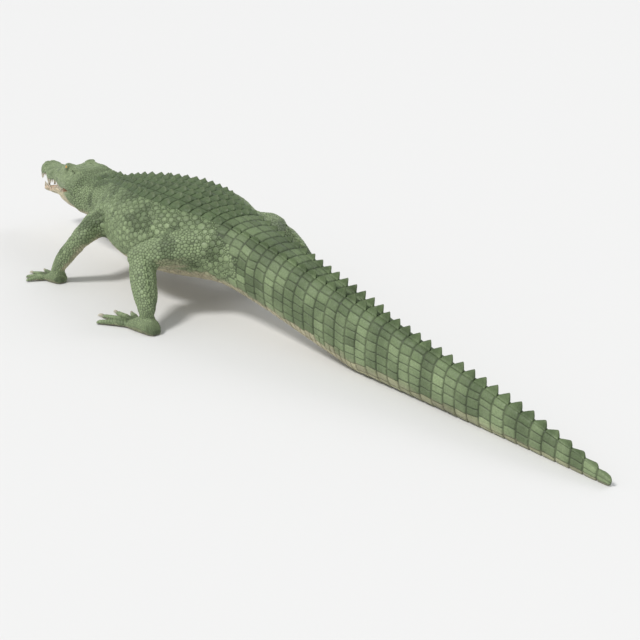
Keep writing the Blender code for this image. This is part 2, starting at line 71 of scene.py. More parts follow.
# Nodes of the frame
TORSO_NODES = ("neck", "trunk", "tail_1", "tail_2", "tail_3", "tail_4")
ONE_CREST_NODES = ("tail_3", "tail_4")
LEG_PARTS = ("upper_arm", "forearm", "forefoot", "thigh", "shank", "hindfoot")
FEET = (("forefoot", "forearm"), ("hindfoot", "shank"))
SIDES = (("left", 1), ("right", -1))
LEG_NODES = [f"{part}_{word}" for part in LEG_PARTS for word, _ in SIDES]
TORSO_RING, HEAD_RING, JAW_RING = 9, 15, 11  # a cross ring of the flesh has at least so many points
SNOUT_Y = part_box("head")[0].y
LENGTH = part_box("tail_4")[1].y - SNOUT_Y
HEAD_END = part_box("head")[1].y - SNOUT_Y
TRUNK = (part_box("trunk")[0].y - SNOUT_Y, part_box("trunk")[1].y - SNOUT_Y)

# Form of a body section: powers of its curves and the height of its widest point
ROUND_TOP, ROUND_BOTTOM, WIDEST = 2.3, 2.6, 0.46

# Distance fields
BODY_SPACING, HEAD_SPACING, SKIN_SPACING = 0.006, 0.003, 0.010
REACH = 0.045
HEAD_SKIN, FOOT_SPACING = 0.0042, 0.0025
WIDE_BLUR = (0.375, 0.25, 0.0625)  # weights from the centre outwards
TOOTH_OPENING = 0.008  # a ball of this radius fits wherever the head is flesh
GUM_DEPTH = 0.003  # how far behind the base of each tooth its gum's bulge has its middle
LEG_FILLET, HEAD_FILLET, WRIST_FILLET = 0.050, 0.030, 0.035
HEAD_FIELD_END = 0.80
SKIN_SPLIT = 0.715  # the fine skin of the head meets the body's here
LEG_BLURS, LEG_SHRINK = 2, 0.0016  # rounding of the legs, and what it takes off them
RELIEF_END = (0.64, 0.70)  # the relief of the head fades out between these s
LEGS_START = (0.7, 0.8)  # the legs' own looks set in between these s
FOOT_OUT = (0.36, 0.40)  # the feet's own looks set in between these distances from the middle
FEET_PART = 1.6  # forefeet lie ahead of this s, hind feet behind it
SKIN_LOW, COAT_LOW = 0.0004, 0.0003  # least height of skin and scales over the floor

# Depth of the coat over the skin
DEPTH_BODY, DEPTH_HEAD, DEPTH_LEG, DEPTH_FOOT = 0.0040, 0.0018, 0.0030, 0.0018

# Colours, linear
FLANK = (0.232, 0.302, 0.156)
BACK = (0.112, 0.162, 0.070)
BLOTCH = (0.054, 0.084, 0.032)
SNOUT = (0.234, 0.300, 0.158)
SCUTE = (0.062, 0.102, 0.036)
# Painted highlight laid on the highest parts of keels and crest teeth
RIDGE_HIGHLIGHT = (0.185, 0.215, 0.110)
BELLY = (0.540, 0.485, 0.325)
SOLE = (0.240, 0.240, 0.170)
LINING = (0.720, 0.540, 0.400)
TONGUE = (0.760, 0.540, 0.390)
IVORY = (0.680, 0.640, 0.510)
CLAW = (0.500, 0.470, 0.360)
# Painted shade: the skin is darkened where it shows in the cracks between scales
CRACK_SHADE = 0.50  # brightness of the skin between scales
BAND_PITCH = 0.26  # of the dark bands across the tail

PATCH = 0.0015  # half-width of each scale's place on the unwrap
RNG = np.random.default_rng(7)


# ---------------------------------------------------------------- reading the frame
def mesh_points(mesh):
    """Places of a mesh's points."""
    points = np.zeros(len(mesh.vertices) * 3)
    mesh.vertices.foreach_get("co", points)
    return points.reshape(-1, 3)


def mesh_triangles(mesh):
    """Point indices of a mesh's triangles."""
    mesh.calc_loop_triangles()
    corners = np.zeros(len(mesh.loop_triangles) * 3, np.int64)
    mesh.loop_triangles.foreach_get("vertices", corners)
    return corners.reshape(-1, 3)


def joined(parts):
    """Points and faces of several meshes as those of one."""
    starts = np.cumsum([0] + [len(points) for points, _ in parts])
    faces = [faces + start for (_, faces), start in zip(parts, starts)]
    return np.concatenate([points for points, _ in parts]), np.concatenate(faces)


def node_arrays(*names):
    """Points and triangles of some nodes, with the points that the file holds twice made one."""
    parts = []
    for name in names:
        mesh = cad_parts[name].data
        places = np.round(mesh_points(mesh).astype(np.float32), 5)
        unique, index = np.unique(places, axis=0, return_inverse=True)
        parts.append((unique, index.reshape(-1)[mesh_triangles(mesh)]))
    points, faces = joined(parts)
    return points.astype(np.float64), faces


def rings_of(name, least):
    """(s, points) of each cross ring of a lofted node."""
    points, _ = node_arrays(name)
    places = np.unique(np.round(points[:, 1], 4))
    rings = [(y - SNOUT_Y, points[np.abs(points[:, 1] - y) < 2e-4]) for y in places]
    return [(s, ring) for s, ring in rings if len(ring) >= least]


class Curve:
    """A smooth curve through measured places, read at many places at once."""

    def __init__(self, rows):
        rows = np.array(sorted(rows), float)
        rows = rows[np.concatenate([[True], np.diff(rows[:, 0]) > 0.004])]
        self.x, self.y = rows[:, 0], rows[:, 1]
        self.slope = np.gradient(self.y, self.x)

    def __call__(self, s):
        s = np.clip(s, self.x[0], self.x[-1])
        i = np.clip(np.searchsorted(self.x, s) - 1, 0, len(self.x) - 2)
        span = self.x[i + 1] - self.x[i]
        t = (s - self.x[i]) / span
        change = self.y[i + 1] - self.y[i]
        enter, leave = self.slope[i] * span - change, self.slope[i + 1] * span - change
        return self.y[i] + t * change + t * (1 - t) * ((1 - t) * enter - t * leave)


def measure_torso():
    """Half-width, top and bottom height along neck, trunk and tail, without keels and crests."""
    half, top, bottom = [], [], []
    for name in TORSO_NODES:
        for i, (s, ring) in enumerate(rings_of(name, TORSO_RING)):
            centre = ring[np.abs(ring[:, 0]) < 1e-4]
            half.append((s, ring[:, 0].max()))
            bottom.append((s, ring[:, 2].min()))
            if len(centre) and not (name in ONE_CREST_NODES and i % 2):
                top.append((s, centre[:, 2].max()))
    return Curve(half), Curve(top), Curve(bottom)


def measure_head():
    """Half-width and lip height of the upper jaw, and the lower jaw's rim, along the head."""
    half, lip, rim = [], [], []
    for s, ring in rings_of("head", HEAD_RING):
        half.append((s, ring[:, 0].max()))
        lip.append((s, ring[:, 2].min()))
    for s, ring in rings_of("lower_jaw", JAW_RING):
        side = np.abs(ring[:, 0]) > 0.8 * ring[:, 0].max()
        rim.append((s, ring[side, 2].max()))
    return Curve(half), Curve(lip), Curve(rim)


HALF, TOP, BOTTOM = measure_torso()
HEAD_HALF, LIP, RIM = measure_head()


def smooth(value, low, high):
    """0 below low, 1 above high and a soft step between."""
    t = np.clip((value - low) / (high - low), 0.0, 1.0)
    return t * t * (3 - 2 * t)


def bump(value, centre, width):
    """1 at the centre, falling off to both sides as a bell does."""
    return np.exp(-(((value - centre) / width) ** 2))


def located(places):
    """Distance behind the snout's tip, distance out from the middle, and height."""
    return places[..., 1] - SNOUT_Y, np.abs(places[..., 0]), places[..., 2]


def distance(places, centre):
    return np.linalg.norm(places - centre, axis=-1)


def directions(ways):
    """Even angles all the way round."""
    return math.tau * np.arange(ways) / ways


def dots(a, b):
    """Products of vectors, row by row."""
    return np.einsum("ij,ij->i", a, b)


def unit(vectors):
    return vectors / np.maximum(np.linalg.norm(vectors, axis=-1, keepdims=True), 1e-9)


HASH = (73856093, 19349663, 83492791, 1274126177)  # factors that scramble the place of a cell of noise


def value_noise(points, size, seed):
    """Smooth noise between 0 and 1 with features of the given size."""
    p = np.asarray(points) / size + seed * 17.31
    cell = np.floor(p).astype(np.int64)
    t = p - cell
    t = t * t * (3 - 2 * t)
    total = 0.0
    for corner in np.ndindex(2, 2, 2):
        x, y, z = (cell[..., k] + corner[k] for k in range(3))
        key = x * HASH[0] ^ y * HASH[1] ^ z * HASH[2]
        key = (key ^ (key >> 13)) * HASH[3] & 0x7FFFFFFF
        share = np.where(corner, t, 1 - t)
        total = total + share[..., 0] * share[..., 1] * share[..., 2] * ((key >> 8) % 4096 / 4095.0)
    return total


# ---------------------------------------------------------------- the torso's own coordinates
TAIL_TIP, TIP_HEIGHT = 0.040, 0.35  # length of the tail's rounded end, and where its height closes
PLUG = ((0.09, 0.30), (0.05, 0.55), (0.015, 0.82))  # reach into the head and size of rings before the neck
TURNS = 181  # directions round the torso at which its q is tabled


class Torso:
    """Neck, trunk and tail as a sheet: s along it, and q from the back's middle (0) to the belly's (1)."""

    def __init__(self, start, end, rows=430, columns=120, samples=400):
        self.s = np.linspace(start, end, rows)
        turn = np.linspace(0, math.pi, samples)[None, :]
        half, top, bottom = (curve(self.s)[:, None] for curve in (HALF, TOP, BOTTOM))
        middle = bottom + WIDEST * (top - bottom)
        upper = turn < math.pi / 2
        power = np.where(upper, ROUND_TOP, ROUND_BOTTOM)
        x = half * np.maximum(np.sin(turn), 0) ** (2 / power)
        rise = np.abs(np.cos(turn)) ** (2 / power)
        z = np.maximum(np.where(upper, middle + (top - middle) * rise, middle - (middle - bottom) * rise), 0)
        tip = np.sqrt(1 - np.clip((self.s[:, None] - end) / TAIL_TIP + 1, 0, 0.98) ** 2)
        x, z = x * tip, bottom + (z - bottom) * tip + TIP_HEIGHT * (top - bottom) * (1 - tip)
        arc = np.cumsum(np.hypot(*(np.diff(v, axis=1, prepend=v[:, :1]) for v in (x, z))), axis=1)
        self.girth = arc[:, -1]
        self.q = np.linspace(0, 1, columns)
        self.x = np.array([np.interp(self.q, a / a[-1], b) for a, b in zip(arc, x)])
        self.z = np.array([np.interp(self.q, a / a[-1], b) for a, b in zip(arc, z)])
        centre = (self.z[:, :1] + self.z[:, -1:]) / 2
        turns = np.arctan2(self.x, self.z - centre)
        even = np.linspace(0, math.pi, TURNS)
        self.q_at_turn = np.array([np.interp(even, row, self.q) for row in turns])

    def around(self, s):
        """Half the girth at s."""
        return np.interp(s, self.s, self.girth)

    def row_at(self, s):
        return np.clip((s - self.s[0]) / (self.s[1] - self.s[0]), 0, len(self.s) - 1.001)

    def points(self, s, q, side):
        s, q, side = np.broadcast_arrays(s, q, side)
        row, column = self.row_at(s), np.clip(q / self.q[1], 0, len(self.q) - 1.001)
        i, j = row.astype(int), column.astype(int)
        a, b = row - i, column - j

        def read(table):
            near = table[i, j] * (1 - b) + table[i, j + 1] * b
            far = table[i + 1, j] * (1 - b) + table[i + 1, j + 1] * b
            return near * (1 - a) + far * a

        return np.stack([side * read(self.x), s + SNOUT_Y, read(self.z)], -1)

    def across(self, points):
        """q of places on or near the sheet."""
        row = self.row_at(points[..., 1] - SNOUT_Y).round().astype(int)
        middle = (self.z[row, 0] + self.z[row, -1]) / 2
        turn = np.arctan2(np.abs(points[..., 0]), points[..., 2] - middle)
        place = np.clip(turn / math.pi * (TURNS - 1), 0, TURNS - 1.001)
        k = place.astype(int)
        return self.q_at_turn[row, k] * (1 - place + k) + self.q_at_turn[row, k + 1] * (place - k)

    def mesh(self):
        """The whole sheet as a closed mesh, with a tapering plug that reaches into the head."""
        ends = np.repeat(self.s[:, None] + SNOUT_Y, len(self.q), 1)
        left = np.stack([self.x, ends, self.z], -1)
        ring = np.concatenate([left, (left * (-1, 1, 1))[:, -2:0:-1]], 1)
        centre = ring[0].mean(0)
        front = [centre + (ring[0] - centre) * (size, 1, size) - (0, back, 0) for back, size in PLUG]
        return closed_loft(np.concatenate([np.array(front), ring]))


def closed_loft(rings):
    """Points and triangles of a loft over rings of equal point counts, with a fan at each end."""
    rows, count = rings.shape[:2]
    points = np.concatenate([rings.reshape(-1, 3), rings[0].mean(0)[None], rings[-1].mean(0)[None]])
    i, j = np.meshgrid(np.arange(rows - 1), np.arange(count), indexing="ij")
    a, b = i * count + j, i * count + (j + 1) % count
    sides = np.stack([np.stack(c, -1) for c in ((a, b, b + count), (a, b + count, a + count))]).reshape(-1, 3)
    around = np.arange(count)
    ahead = (around + 1) % count
    base = (rows - 1) * count
    front = np.stack([np.full(count, rows * count), ahead, around], -1)
    back = np.stack([np.full(count, rows * count + 1), base + around, base + ahead], -1)
    return points, np.concatenate([sides, front, back])


TORSO = Torso(HEAD_END, LENGTH)


# ---------------------------------------------------------------- distance fields
def level_set(points, faces, spacing, reach=REACH):
    """A grid of signed distances to a closed mesh, valid up to reach."""
    transform = vdb.createLinearTransform(voxelSize=spacing)
    kind = "triangles" if faces.shape[1] == 3 else "quads"
    corners = {kind: np.ascontiguousarray(faces, np.uint32)}
    points = np.ascontiguousarray(points, np.float32)
    return vdb.FloatGrid.createLevelSetFromPolygons(
        points=points, transform=transform, halfWidth=reach / spacing, **corners
    )


def offset(grid, by, spacing, reach=REACH):
    """The level set of a grid's surface moved outwards, so the thin seams inside it close."""
    points, quads = grid.convertToQuads(isovalue=by)
    return level_set(points, quads, spacing, reach)


def smooth_union(a, b, width):
    h = np.clip(0.5 + 0.5 * (b - a) / width, 0, 1)
    return b + (a - b) * h - width * h * (1 - h)


def smooth_cut(a, b, width):
    """a with b taken away."""
    return -smooth_union(-a, b, width)


def blur(values, weights=(0.5, 0.25)):
    """A symmetric blur along all three axes. weights runs from the centre outwards."""
    for axis in range(3):
        total = values * weights[0]
        for k, weight in enumerate(weights[1:], 1):
            for way in (k, -k):
                total += weight * np.roll(values, way, axis)
        values = total
    return values


class Lattice:
    """Values on an even grid of points, read in between."""

    def __init__(self, low, high, spacing):
        self.spacing = spacing
        self.low = np.floor(np.array(low) / spacing).astype(int)
        self.shape = tuple(np.ceil(np.array(high) / spacing).astype(int) - self.low + 1)
        self.values = None

    def take(self, grid):
        values = np.zeros(self.shape, np.float32)
        grid.copyToArray(values, ijk=tuple(int(v) for v in self.low))
        return values

    def points(self):
        axes = [(low + np.arange(count)) * self.spacing for low, count in zip(self.low, self.shape)]
        return np.stack(np.meshgrid(*(axis.astype(np.float32) for axis in axes), indexing="ij"), -1)

    def __call__(self, points):
        place = np.asarray(points, np.float64) / self.spacing - self.low
        cell = np.clip(np.floor(place).astype(np.int64), 0, np.array(self.shape) - 2)
        t = np.clip(place - cell, 0, 1)
        tx, ty, tz = t[..., 0], t[..., 1], t[..., 2]
        ny, nz = self.shape[1], self.shape[2]
        start = (cell[..., 0] * ny + cell[..., 1]) * nz + cell[..., 2]
        flat = self.values.reshape(-1)
        sides = []
        for dx in (0, 1):
            rows = []
            for dy in (0, 1):
                at = start + (dx * ny + dy) * nz
                rows.append(flat[at] * (1 - tz) + flat[at + 1] * tz)
            sides.append(rows[0] * (1 - ty) + rows[1] * ty)
        return sides[0] * (1 - tx) + sides[1] * tx

    def surface(self):
        """Points and quads where the values are zero."""
        grid = vdb.FloatGrid(REACH)
        grid.copyFromArray(np.ascontiguousarray(self.values), ijk=tuple(int(v) for v in self.low))
        grid.transform = vdb.createLinearTransform(voxelSize=self.spacing)
        points, quads = grid.convertToQuads(isovalue=0.0)
        return points.astype(np.float64), quads.astype(np.int64)


def mirrored(points):
    """The same places on the left side. All fields are kept for that side only."""
    return np.stack([np.abs(points[..., 0]), points[..., 1], points[..., 2]], -1)


def slope(points, step=0.0025, field=None):
    """Unit vectors away from a surface, the skin's if no field is named."""
    corners = np.array(((1, -1, -1), (-1, -1, 1), (-1, 1, -1), (1, 1, 1)), float)
    found = sum((field or skin_level)(points + step * c)[..., None] * c for c in corners)
    return unit(found)


# ---------------------------------------------------------------- teeth
TOOTH_SHARP = 0.86  # how nearly alike the directions are in which the edges run from a tooth's tip


def find_teeth():
    """(base, tip, radius) of each tooth: a point of the jaws whose edges all run back the same way."""
    found = []
    for name in ("head", "lower_jaw"):
        points, faces = node_arrays(name)
        pairs = np.concatenate([faces[:, [0, 1]], faces[:, [1, 2]], faces[:, [2, 0]]])
        pairs = np.unique(np.concatenate([pairs, pairs[:, ::-1]]), axis=0)
        ways = unit(points[pairs[:, 1]] - points[pairs[:, 0]])
        total, count = np.zeros((len(points), 3)), np.bincount(pairs[:, 0], minlength=len(points))
        np.add.at(total, pairs[:, 0], ways)
        for tip in np.nonzero((np.linalg.norm(total, axis=1) > TOOTH_SHARP * count) & (count > 2))[0]:
            feet = points[pairs[pairs[:, 0] == tip, 1]]
            base = feet.mean(0)
            axis = unit(points[tip] - base)
            across = feet - base - ((feet - base) @ axis)[:, None] * axis
            found.append((base, points[tip], np.linalg.norm(across, axis=1).mean()))
    return found


def rooted(field, base, tip, radius):
    """A tooth moved level into the flesh until its base stands in it."""
    side = np.array((1.0 if base[0] > 0 else -1.0, 1.0, 1.0))
    base, tip = base * side, tip * side
    for _ in range(5):
        short = float(field(base[None])[0]) + 0.6 * radius
        move = slope(base[None], field=field)[0] * (1, 1, 0) * min(max(short, 0.0), 0.003)
        base, tip = base - move, tip - move
    return base * side, tip * side, radius


# ---------------------------------------------------------------- eyes, nostrils and ears
EYE_LOOK = (0.85, -0.16, 0.38)
BROW = ((-0.007, 0.003, 0.0175), (0.019, 0.034, 0.0085))  # middle and radii along the eye's axes
EYE_WRINKLES = (0.0012, 0.0009, 0.0006)  # heights of the rings under the eye, from the inner one outwards
SOCKET_TURN = 0.98  # half the angle of the skin's hole over each eye
NOSTRIL = (0.0165, 0.040)  # out from the middle and behind the tip
NOSTRIL_DISC = ((0.0, 0.002, -0.010), (0.017, 0.021, 0.0125))  # middle, from the nostril, and radii
NOSTRIL_SLIT = (0.0036, 0.0120, 0.0110)  # radii
EAR_SLIT = (0.482, 0.562)  # s of its ends


def eye_frame():
    """Centre and radius of the left eye, and its axes: outwards, backwards and up."""
    low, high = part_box("eye_left")
    out = unit(np.array(EYE_LOOK))
    up = unit(np.array((0, 0, 1.0)) - out[2] * out)
    return np.array((low + high) / 2), (high.z - low.z) / 2, out, np.cross(up, out), up


EYE_CENTRE, EYE_RADIUS, EYE_OUT, EYE_BACK, EYE_UP = eye_frame()


def ellipsoid(points, centre, radii):
    return (np.linalg.norm((points - centre) / radii, axis=-1) - 1) * min(radii)


def add_eye(level, places):
    """Bony brow, the bulge of the eyeball, wrinkles under it and the hole that the lids close."""
    near = distance(places, EYE_CENTRE) < 0.07
    p = places[near] - EYE_CENTRE
    local = np.stack([p @ EYE_OUT, p @ EYE_BACK, p @ EYE_UP], -1)
    found = smooth_union(level[near], ellipsoid(local, *BROW), 0.010)
    away = np.linalg.norm(local, axis=-1)
    found = smooth_union(found, away - (EYE_RADIUS + 0.0010), 0.007)
    under = smooth(-local[..., 2], 0.002, 0.012)
    for k, depth in enumerate(EYE_WRINKLES):
        ring = away - (EYE_RADIUS + 0.0085 + 0.0050 * k)
        found = found + under * depth * bump(ring, 0.0, 0.0016)
    turn = np.arccos(np.clip(local[..., 0] / np.maximum(away, 1e-6), -1, 1))
    upper = smooth(local[..., 2] / np.maximum(away, 1e-6), 0.1, 0.6)
    hole = np.maximum((turn - SOCKET_TURN + 0.28 * upper) * EYE_RADIUS, (EYE_RADIUS - 0.006) - away)
    hole = np.maximum(hole, away - (EYE_RADIUS + 0.0036))
    level[near] = smooth_cut(found, hole, 0.001)
    return level


def add_nostrils(level, places):
    """The raised disc at the snout's tip with its two crescent nostrils."""
    near = distance(places, NOSTRIL_CENTRE) < 0.05
    p = places[near] - NOSTRIL_CENTRE
    found = smooth_union(level[near], ellipsoid(p, *NOSTRIL_DISC), 0.010)
    bent = p[..., 0] - 0.004 + 20.0 * p[..., 1] ** 2
    slit = np.stack([bent, p[..., 1], p[..., 2]], -1)
    level[near] = smooth_cut(found, ellipsoid(slit, (0.0, 0.0, 0.0), NOSTRIL_SLIT), 0.0024)
    return level


def add_ears(level, places):
    """The long slit under the edge of the skull's roof that covers each ear."""
    s, out, z = located(places)
    near = (s > EAR_SLIT[0]) & (s < EAR_SLIT[1]) & (out > 0.04) & (z > RIM(s) + 0.05)
    s, out, z = s[near], out[near], z[near]
    line = ear_line(s, z)
    along = smooth(s, EAR_SLIT[0], EAR_SLIT[0] + 0.02) * (1 - smooth(s, EAR_SLIT[1] - 0.02, EAR_SLIT[1]))
    along = along * smooth(out, 0.05, 0.07)
    level[near] += along * (0.0070 * bump(line, 0.0, 0.0026) - 0.0026 * bump(line, 0.0075, 0.0060))
    return level


def ear_line(s, z):
    """Height over the ear's slit."""
    return z - (TOP_OF_HEAD(s) - 0.024 - 0.10 * (s - EAR_SLIT[0]))


def measure_roof():
    """Height of the head's top along it."""
    return Curve([(s, ring[:, 2].max()) for s, ring in rings_of("head", HEAD_RING)])


def measure_snout():
    """Height of the top of the snout at the nostrils."""
    points, _ = node_arrays("head")
    behind = points[:, 1] - SNOUT_Y
    return float(points[(behind > 0.02) & (behind < 0.07), 2].max())


TOP_OF_HEAD = measure_roof()
NOSTRIL_CENTRE = np.array((NOSTRIL[0], NOSTRIL[1] + SNOUT_Y, measure_snout()))


def near_eye_or_nostril(places, eye, nostril):
    """True within these distances of the left eye or the left nostril."""
    return (distance(places, EYE_CENTRE) < eye) | (distance(places, NOSTRIL_CENTRE) < nostril)


# ---------------------------------------------------------------- limbs, folds and the head's relief
MUSCLE_DEPTH, CREASE_DEPTH, CREASE_PITCH = 0.0050, 0.0016, 0.022
PREORBITAL = ((0.17, 0.30, 0.40), (0.021, 0.033, 0.050))  # the ridge before each eye: s and distance out
SKULL_EDGE = ((0.45, 0.60), (0.071, 0.087))  # the edge of the skull's roof, likewise


def limb_axes():
    """Middle, direction and half-length of each part of the left legs."""
    found = []
    for part in LEG_PARTS:
        points, _ = node_arrays(part + "_left")
        middle = (points.max(0) + points.min(0)) / 2
        axis = np.linalg.svd(points - points.mean(0), full_matrices=False)[2][0]
        outwards = (1, 0, 0) if part in ("upper_arm", "thigh") else (0, -1, 0 if "foot" in part else -1)
        axis = axis * math.copysign(1.0, float(axis @ np.array(outwards, float)))
        found.append((middle, axis, float(np.abs((points - middle) @ axis).max())))
    return found


LIMBS = limb_axes()


def limb_forms(places):
    """How far the legs' skin lies in between the muscles and in the creases at elbows, knees and wrists."""
    s, x, z = located(places)
    leg = smooth(x, HALF(s) + 0.02, HALF(s) + 0.06) * smooth(s, *LEGS_START) * smooth(z, 0.05, 0.10)
    total = MUSCLE_DEPTH * smooth(value_noise(places, 0.075, 31), 0.35, 0.75)
    for part, (middle, axis, half) in zip(LEG_PARTS, LIMBS):
        if "foot" not in part:
            from_joint = places - middle - axis * half
            along = from_joint @ axis
            near = bump(along, 0.0, 0.035) * bump(np.linalg.norm(from_joint, axis=-1), 0.0, 0.11)
            total = total + CREASE_DEPTH * near * (0.5 + 0.5 * np.cos(math.tau * along / CREASE_PITCH))
    return leg * total


def folds(places):
    """Height of the soft skin's folds across the sides of neck and trunk."""
    s, x, z = located(places)
    middle = (TOP(s) + BOTTOM(s)) / 2
    lateral = bump(z, middle, 0.11) * smooth(x, 0.08, 0.14)
    wave = np.sin(math.tau * (s + 0.10 * (z - middle)) / 0.062)
    neck = lateral * smooth(s, 0.66, 0.72) * (1 - smooth(s, 0.98, 1.08)) * 0.0024 * wave
    flank_wave = np.sin(math.tau * (s + 0.05 * np.sin(9 * z)) / 0.105)
    flank = lateral * smooth(s, 1.18, 1.3) * (1 - smooth(s, 1.75, 1.9)) * 0.0014 * flank_wave
    return neck + flank


def head_forms(places):
    """Height of the head's relief: ridges before the eyes, the skull's roof with its edge, rough bone."""
    s, x, z = located(places)
    roof = TOP_OF_HEAD(s)
    upper = smooth(z, roof - 0.050, roof - 0.022)
    line = np.interp(s, *PREORBITAL)
    run = smooth(s, 0.16, 0.23) * (1 - smooth(s, 0.385, 0.42))
    ridge = 0.0034 * (1 + 0.35 * np.sin(math.tau * s / 0.021)) * bump(x, line, 0.0060)
    ridge = ridge - 0.0016 * bump(x, line - 0.013, 0.007) - 0.0014 * bump(x, line + 0.014, 0.008)
    edge = np.interp(s, *SKULL_EDGE)
    table = smooth(s, 0.455, 0.475) * (1 - smooth(s, 0.600, 0.612))
    shelf = 0.0024 * bump(x, edge, 0.0065) - 0.0016 * (1 - smooth(x, edge - 0.022, edge - 0.008))
    shelf = shelf - 0.0034 * bump(x, 0.040, 0.013) * bump(s, 0.535, 0.024)
    behind = 0.0022 * bump(s, 0.600, 0.007) - 0.0042 * bump(s, 0.632, 0.016)
    behind = behind * (1 - smooth(x, 0.070, 0.095)) * upper
    under = -0.0034 * bump(z, roof - 0.022, 0.008) * smooth(x, edge - 0.010, edge + 0.002) * table
    bony = upper * smooth(s, 0.06, 0.12) * (1 - smooth(s, 0.60, 0.64))
    rough = 0.0030 * (value_noise(places, 0.017, 11) - 0.5) * bony
    cheek = 0.0040 * bump(s, 0.600, 0.050) * bump(z, RIM(s) + 0.060, 0.036) * smooth(x, 0.10, 0.13)
    return upper * (run * ridge + table * shelf) + behind + under + rough + cheek


# ---------------------------------------------------------------- where things are
def mouth_inside(places):
    """1 on the lining of the mouth, 0 on the outside."""
    s, out, z = located(places)
    inner = 1 - smooth(out, 0.80 * HEAD_HALF(s), 0.93 * HEAD_HALF(s))
    level = smooth(z, RIM(s) - 0.022, RIM(s) - 0.014) * (1 - smooth(z, LIP(s) + 0.016, LIP(s) + 0.022))
    return inner * level * smooth(s, 0.024, 0.036) * (1 - smooth(s, 0.53, 0.55))


def foot_share(places):
    """1 in the feet, 0 above the wrists and ankles."""
    _, out, z = located(places)
    return (1 - smooth(z, 0.110, 0.150)) * smooth(out, *FOOT_OUT)


def coat_depth(places):
    """How far the skin lies under the surface of the solids."""
    s, out, z = located(places)
    leg = smooth(out, HALF(s) + 0.01, HALF(s) + 0.05) * smooth(s, *LEGS_START)
    depth = DEPTH_BODY + (DEPTH_LEG - DEPTH_BODY) * leg
    foot = smooth(out, *FOOT_OUT) * (1 - smooth(z, 0.06, 0.12))
    depth = depth + (DEPTH_FOOT - depth) * foot
    depth = depth + (DEPTH_HEAD - depth) * (1 - smooth(s, 0.56, 0.70))
    depth = depth * (1 - 0.6 * smooth(s, 3.9, 4.35))
    return depth * (1 - 0.9 * mouth_inside(places))


# ---------------------------------------------------------------- the animal's fields
def make_body_fields():
    """The torso alone, and the skin of torso and legs."""
    low = np.array((-3 * BODY_SPACING, CAD_BOX[0][1] - 0.03, -0.02))
    high = np.array(CAD_BOX[1]) + 0.03
    torso, body = Lattice(low, high, BODY_SPACING), Lattice(low, high, BODY_SPACING)
    torso.values = torso.take(level_set(*TORSO.mesh(), BODY_SPACING))
    left = [name for name in LEG_NODES if name.endswith("left")]
    legs = offset(level_set(*node_arrays(*left), BODY_SPACING), BODY_SPACING, BODY_SPACING)
    legs = body.take(legs) + BODY_SPACING
    for _ in range(LEG_BLURS):
        legs = blur(legs, WIDE_BLUR)
    legs -= LEG_SHRINK
    body.values = smooth_union(torso.values, legs, LEG_FILLET)
    add_depth(body)
    return torso, body


def make_foot_field(foot, limb):
    """A foot and the end of its leg, fine enough for toes and webs."""
    low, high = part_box(foot)
    field = Lattice(np.array(low) - 0.03, np.array((high.x + 0.03, high.y + 0.05, 0.17)), FOOT_SPACING)
    reach = 14 * FOOT_SPACING
    values = []
    for name in (foot, limb):
        grid = level_set(*node_arrays(name), FOOT_SPACING, reach)
        values.append(field.take(offset(grid, FOOT_SPACING, FOOT_SPACING, reach)) + FOOT_SPACING)
    foot, limb = values
    for _ in range(3):
        limb = blur(limb, WIDE_BLUR)
    field.values = smooth_union(blur(foot), limb, WRIST_FILLET)
    add_depth(field)
    return field


def add_depth(field):
    """Takes a field's surface in by the coat's depth, and adds folds, muscles and the head's relief."""
    near = np.abs(field.values) < 0.02
    axes = [(field.low[k] + at) * field.spacing for k, at in enumerate(np.nonzero(near))]
    places = np.stack(axes, -1)
    height = folds(places) - limb_forms(places)
    s = places[:, 1] - SNOUT_Y
    head = s < RELIEF_END[1]
    height[head] += head_forms(places[head]) * (1 - smooth(s[head], *RELIEF_END))
    field.values[near] += (coat_depth(places) - height).astype(np.float32)


def make_head_field():
    """Head and lower jaw without their teeth, at a finer spacing, and the neck behind them."""
    low = np.array((-3 * HEAD_SPACING, SNOUT_Y - 0.03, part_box("lower_jaw")[0].z - 0.06))
    high = np.array((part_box("head")[1].x + 0.04, SNOUT_Y + HEAD_FIELD_END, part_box("head")[1].z + 0.06))
    field = Lattice(low, high, HEAD_SPACING)
    reach = 8 * HEAD_SPACING
    grid = level_set(*node_arrays("head", "lower_jaw"), HEAD_SPACING, reach)
    grid = offset(grid, HEAD_SPACING, HEAD_SPACING, reach)
    grid = offset(grid, -HEAD_SPACING - TOOTH_OPENING, HEAD_SPACING, reach)
    flesh = blur(field.take(grid) - TOOTH_OPENING)
    rows = int((TORSO.s < HEAD_FIELD_END + 0.1).sum()) + 3
    ring = TORSO.mesh()[0][: rows * (2 * len(TORSO.q) - 2)]
    neck = field.take(level_set(*closed_loft(ring.reshape(rows, -1, 3)), HEAD_SPACING, reach))
    field.values = smooth_union(flesh, neck, HEAD_FILLET)
    places = field.points()
    teeth = [rooted(field, *tooth) for tooth in find_teeth()]
    for base, tip, radius in teeth:
        if base[0] > 0:
            near = tuple(slice(*v) for v in zip(*window(field, base, 0.03)))
            gum = np.linalg.norm(places[near] - (base - unit(tip - base) * GUM_DEPTH), axis=-1) - 1.1 * radius
            field.values[near] = smooth_union(field.values[near], gum.astype(np.float32), 0.006)
    add_depth(field)
    return field, teeth


def window(field, centre, size):
    """First and last grid indices of a cube round a place."""
    place = np.array(centre) / field.spacing - field.low
    size = size / field.spacing
    return np.maximum(place - size, 0).astype(int), np.minimum(place + size, field.shape).astype(int)


TORSO_FIELD, BODY_FIELD = make_body_fields()
HEAD_FIELD, TEETH = make_head_field()
FOOT_FIELDS = [make_foot_field(foot + "_left", limb + "_left") for foot, limb in FEET]


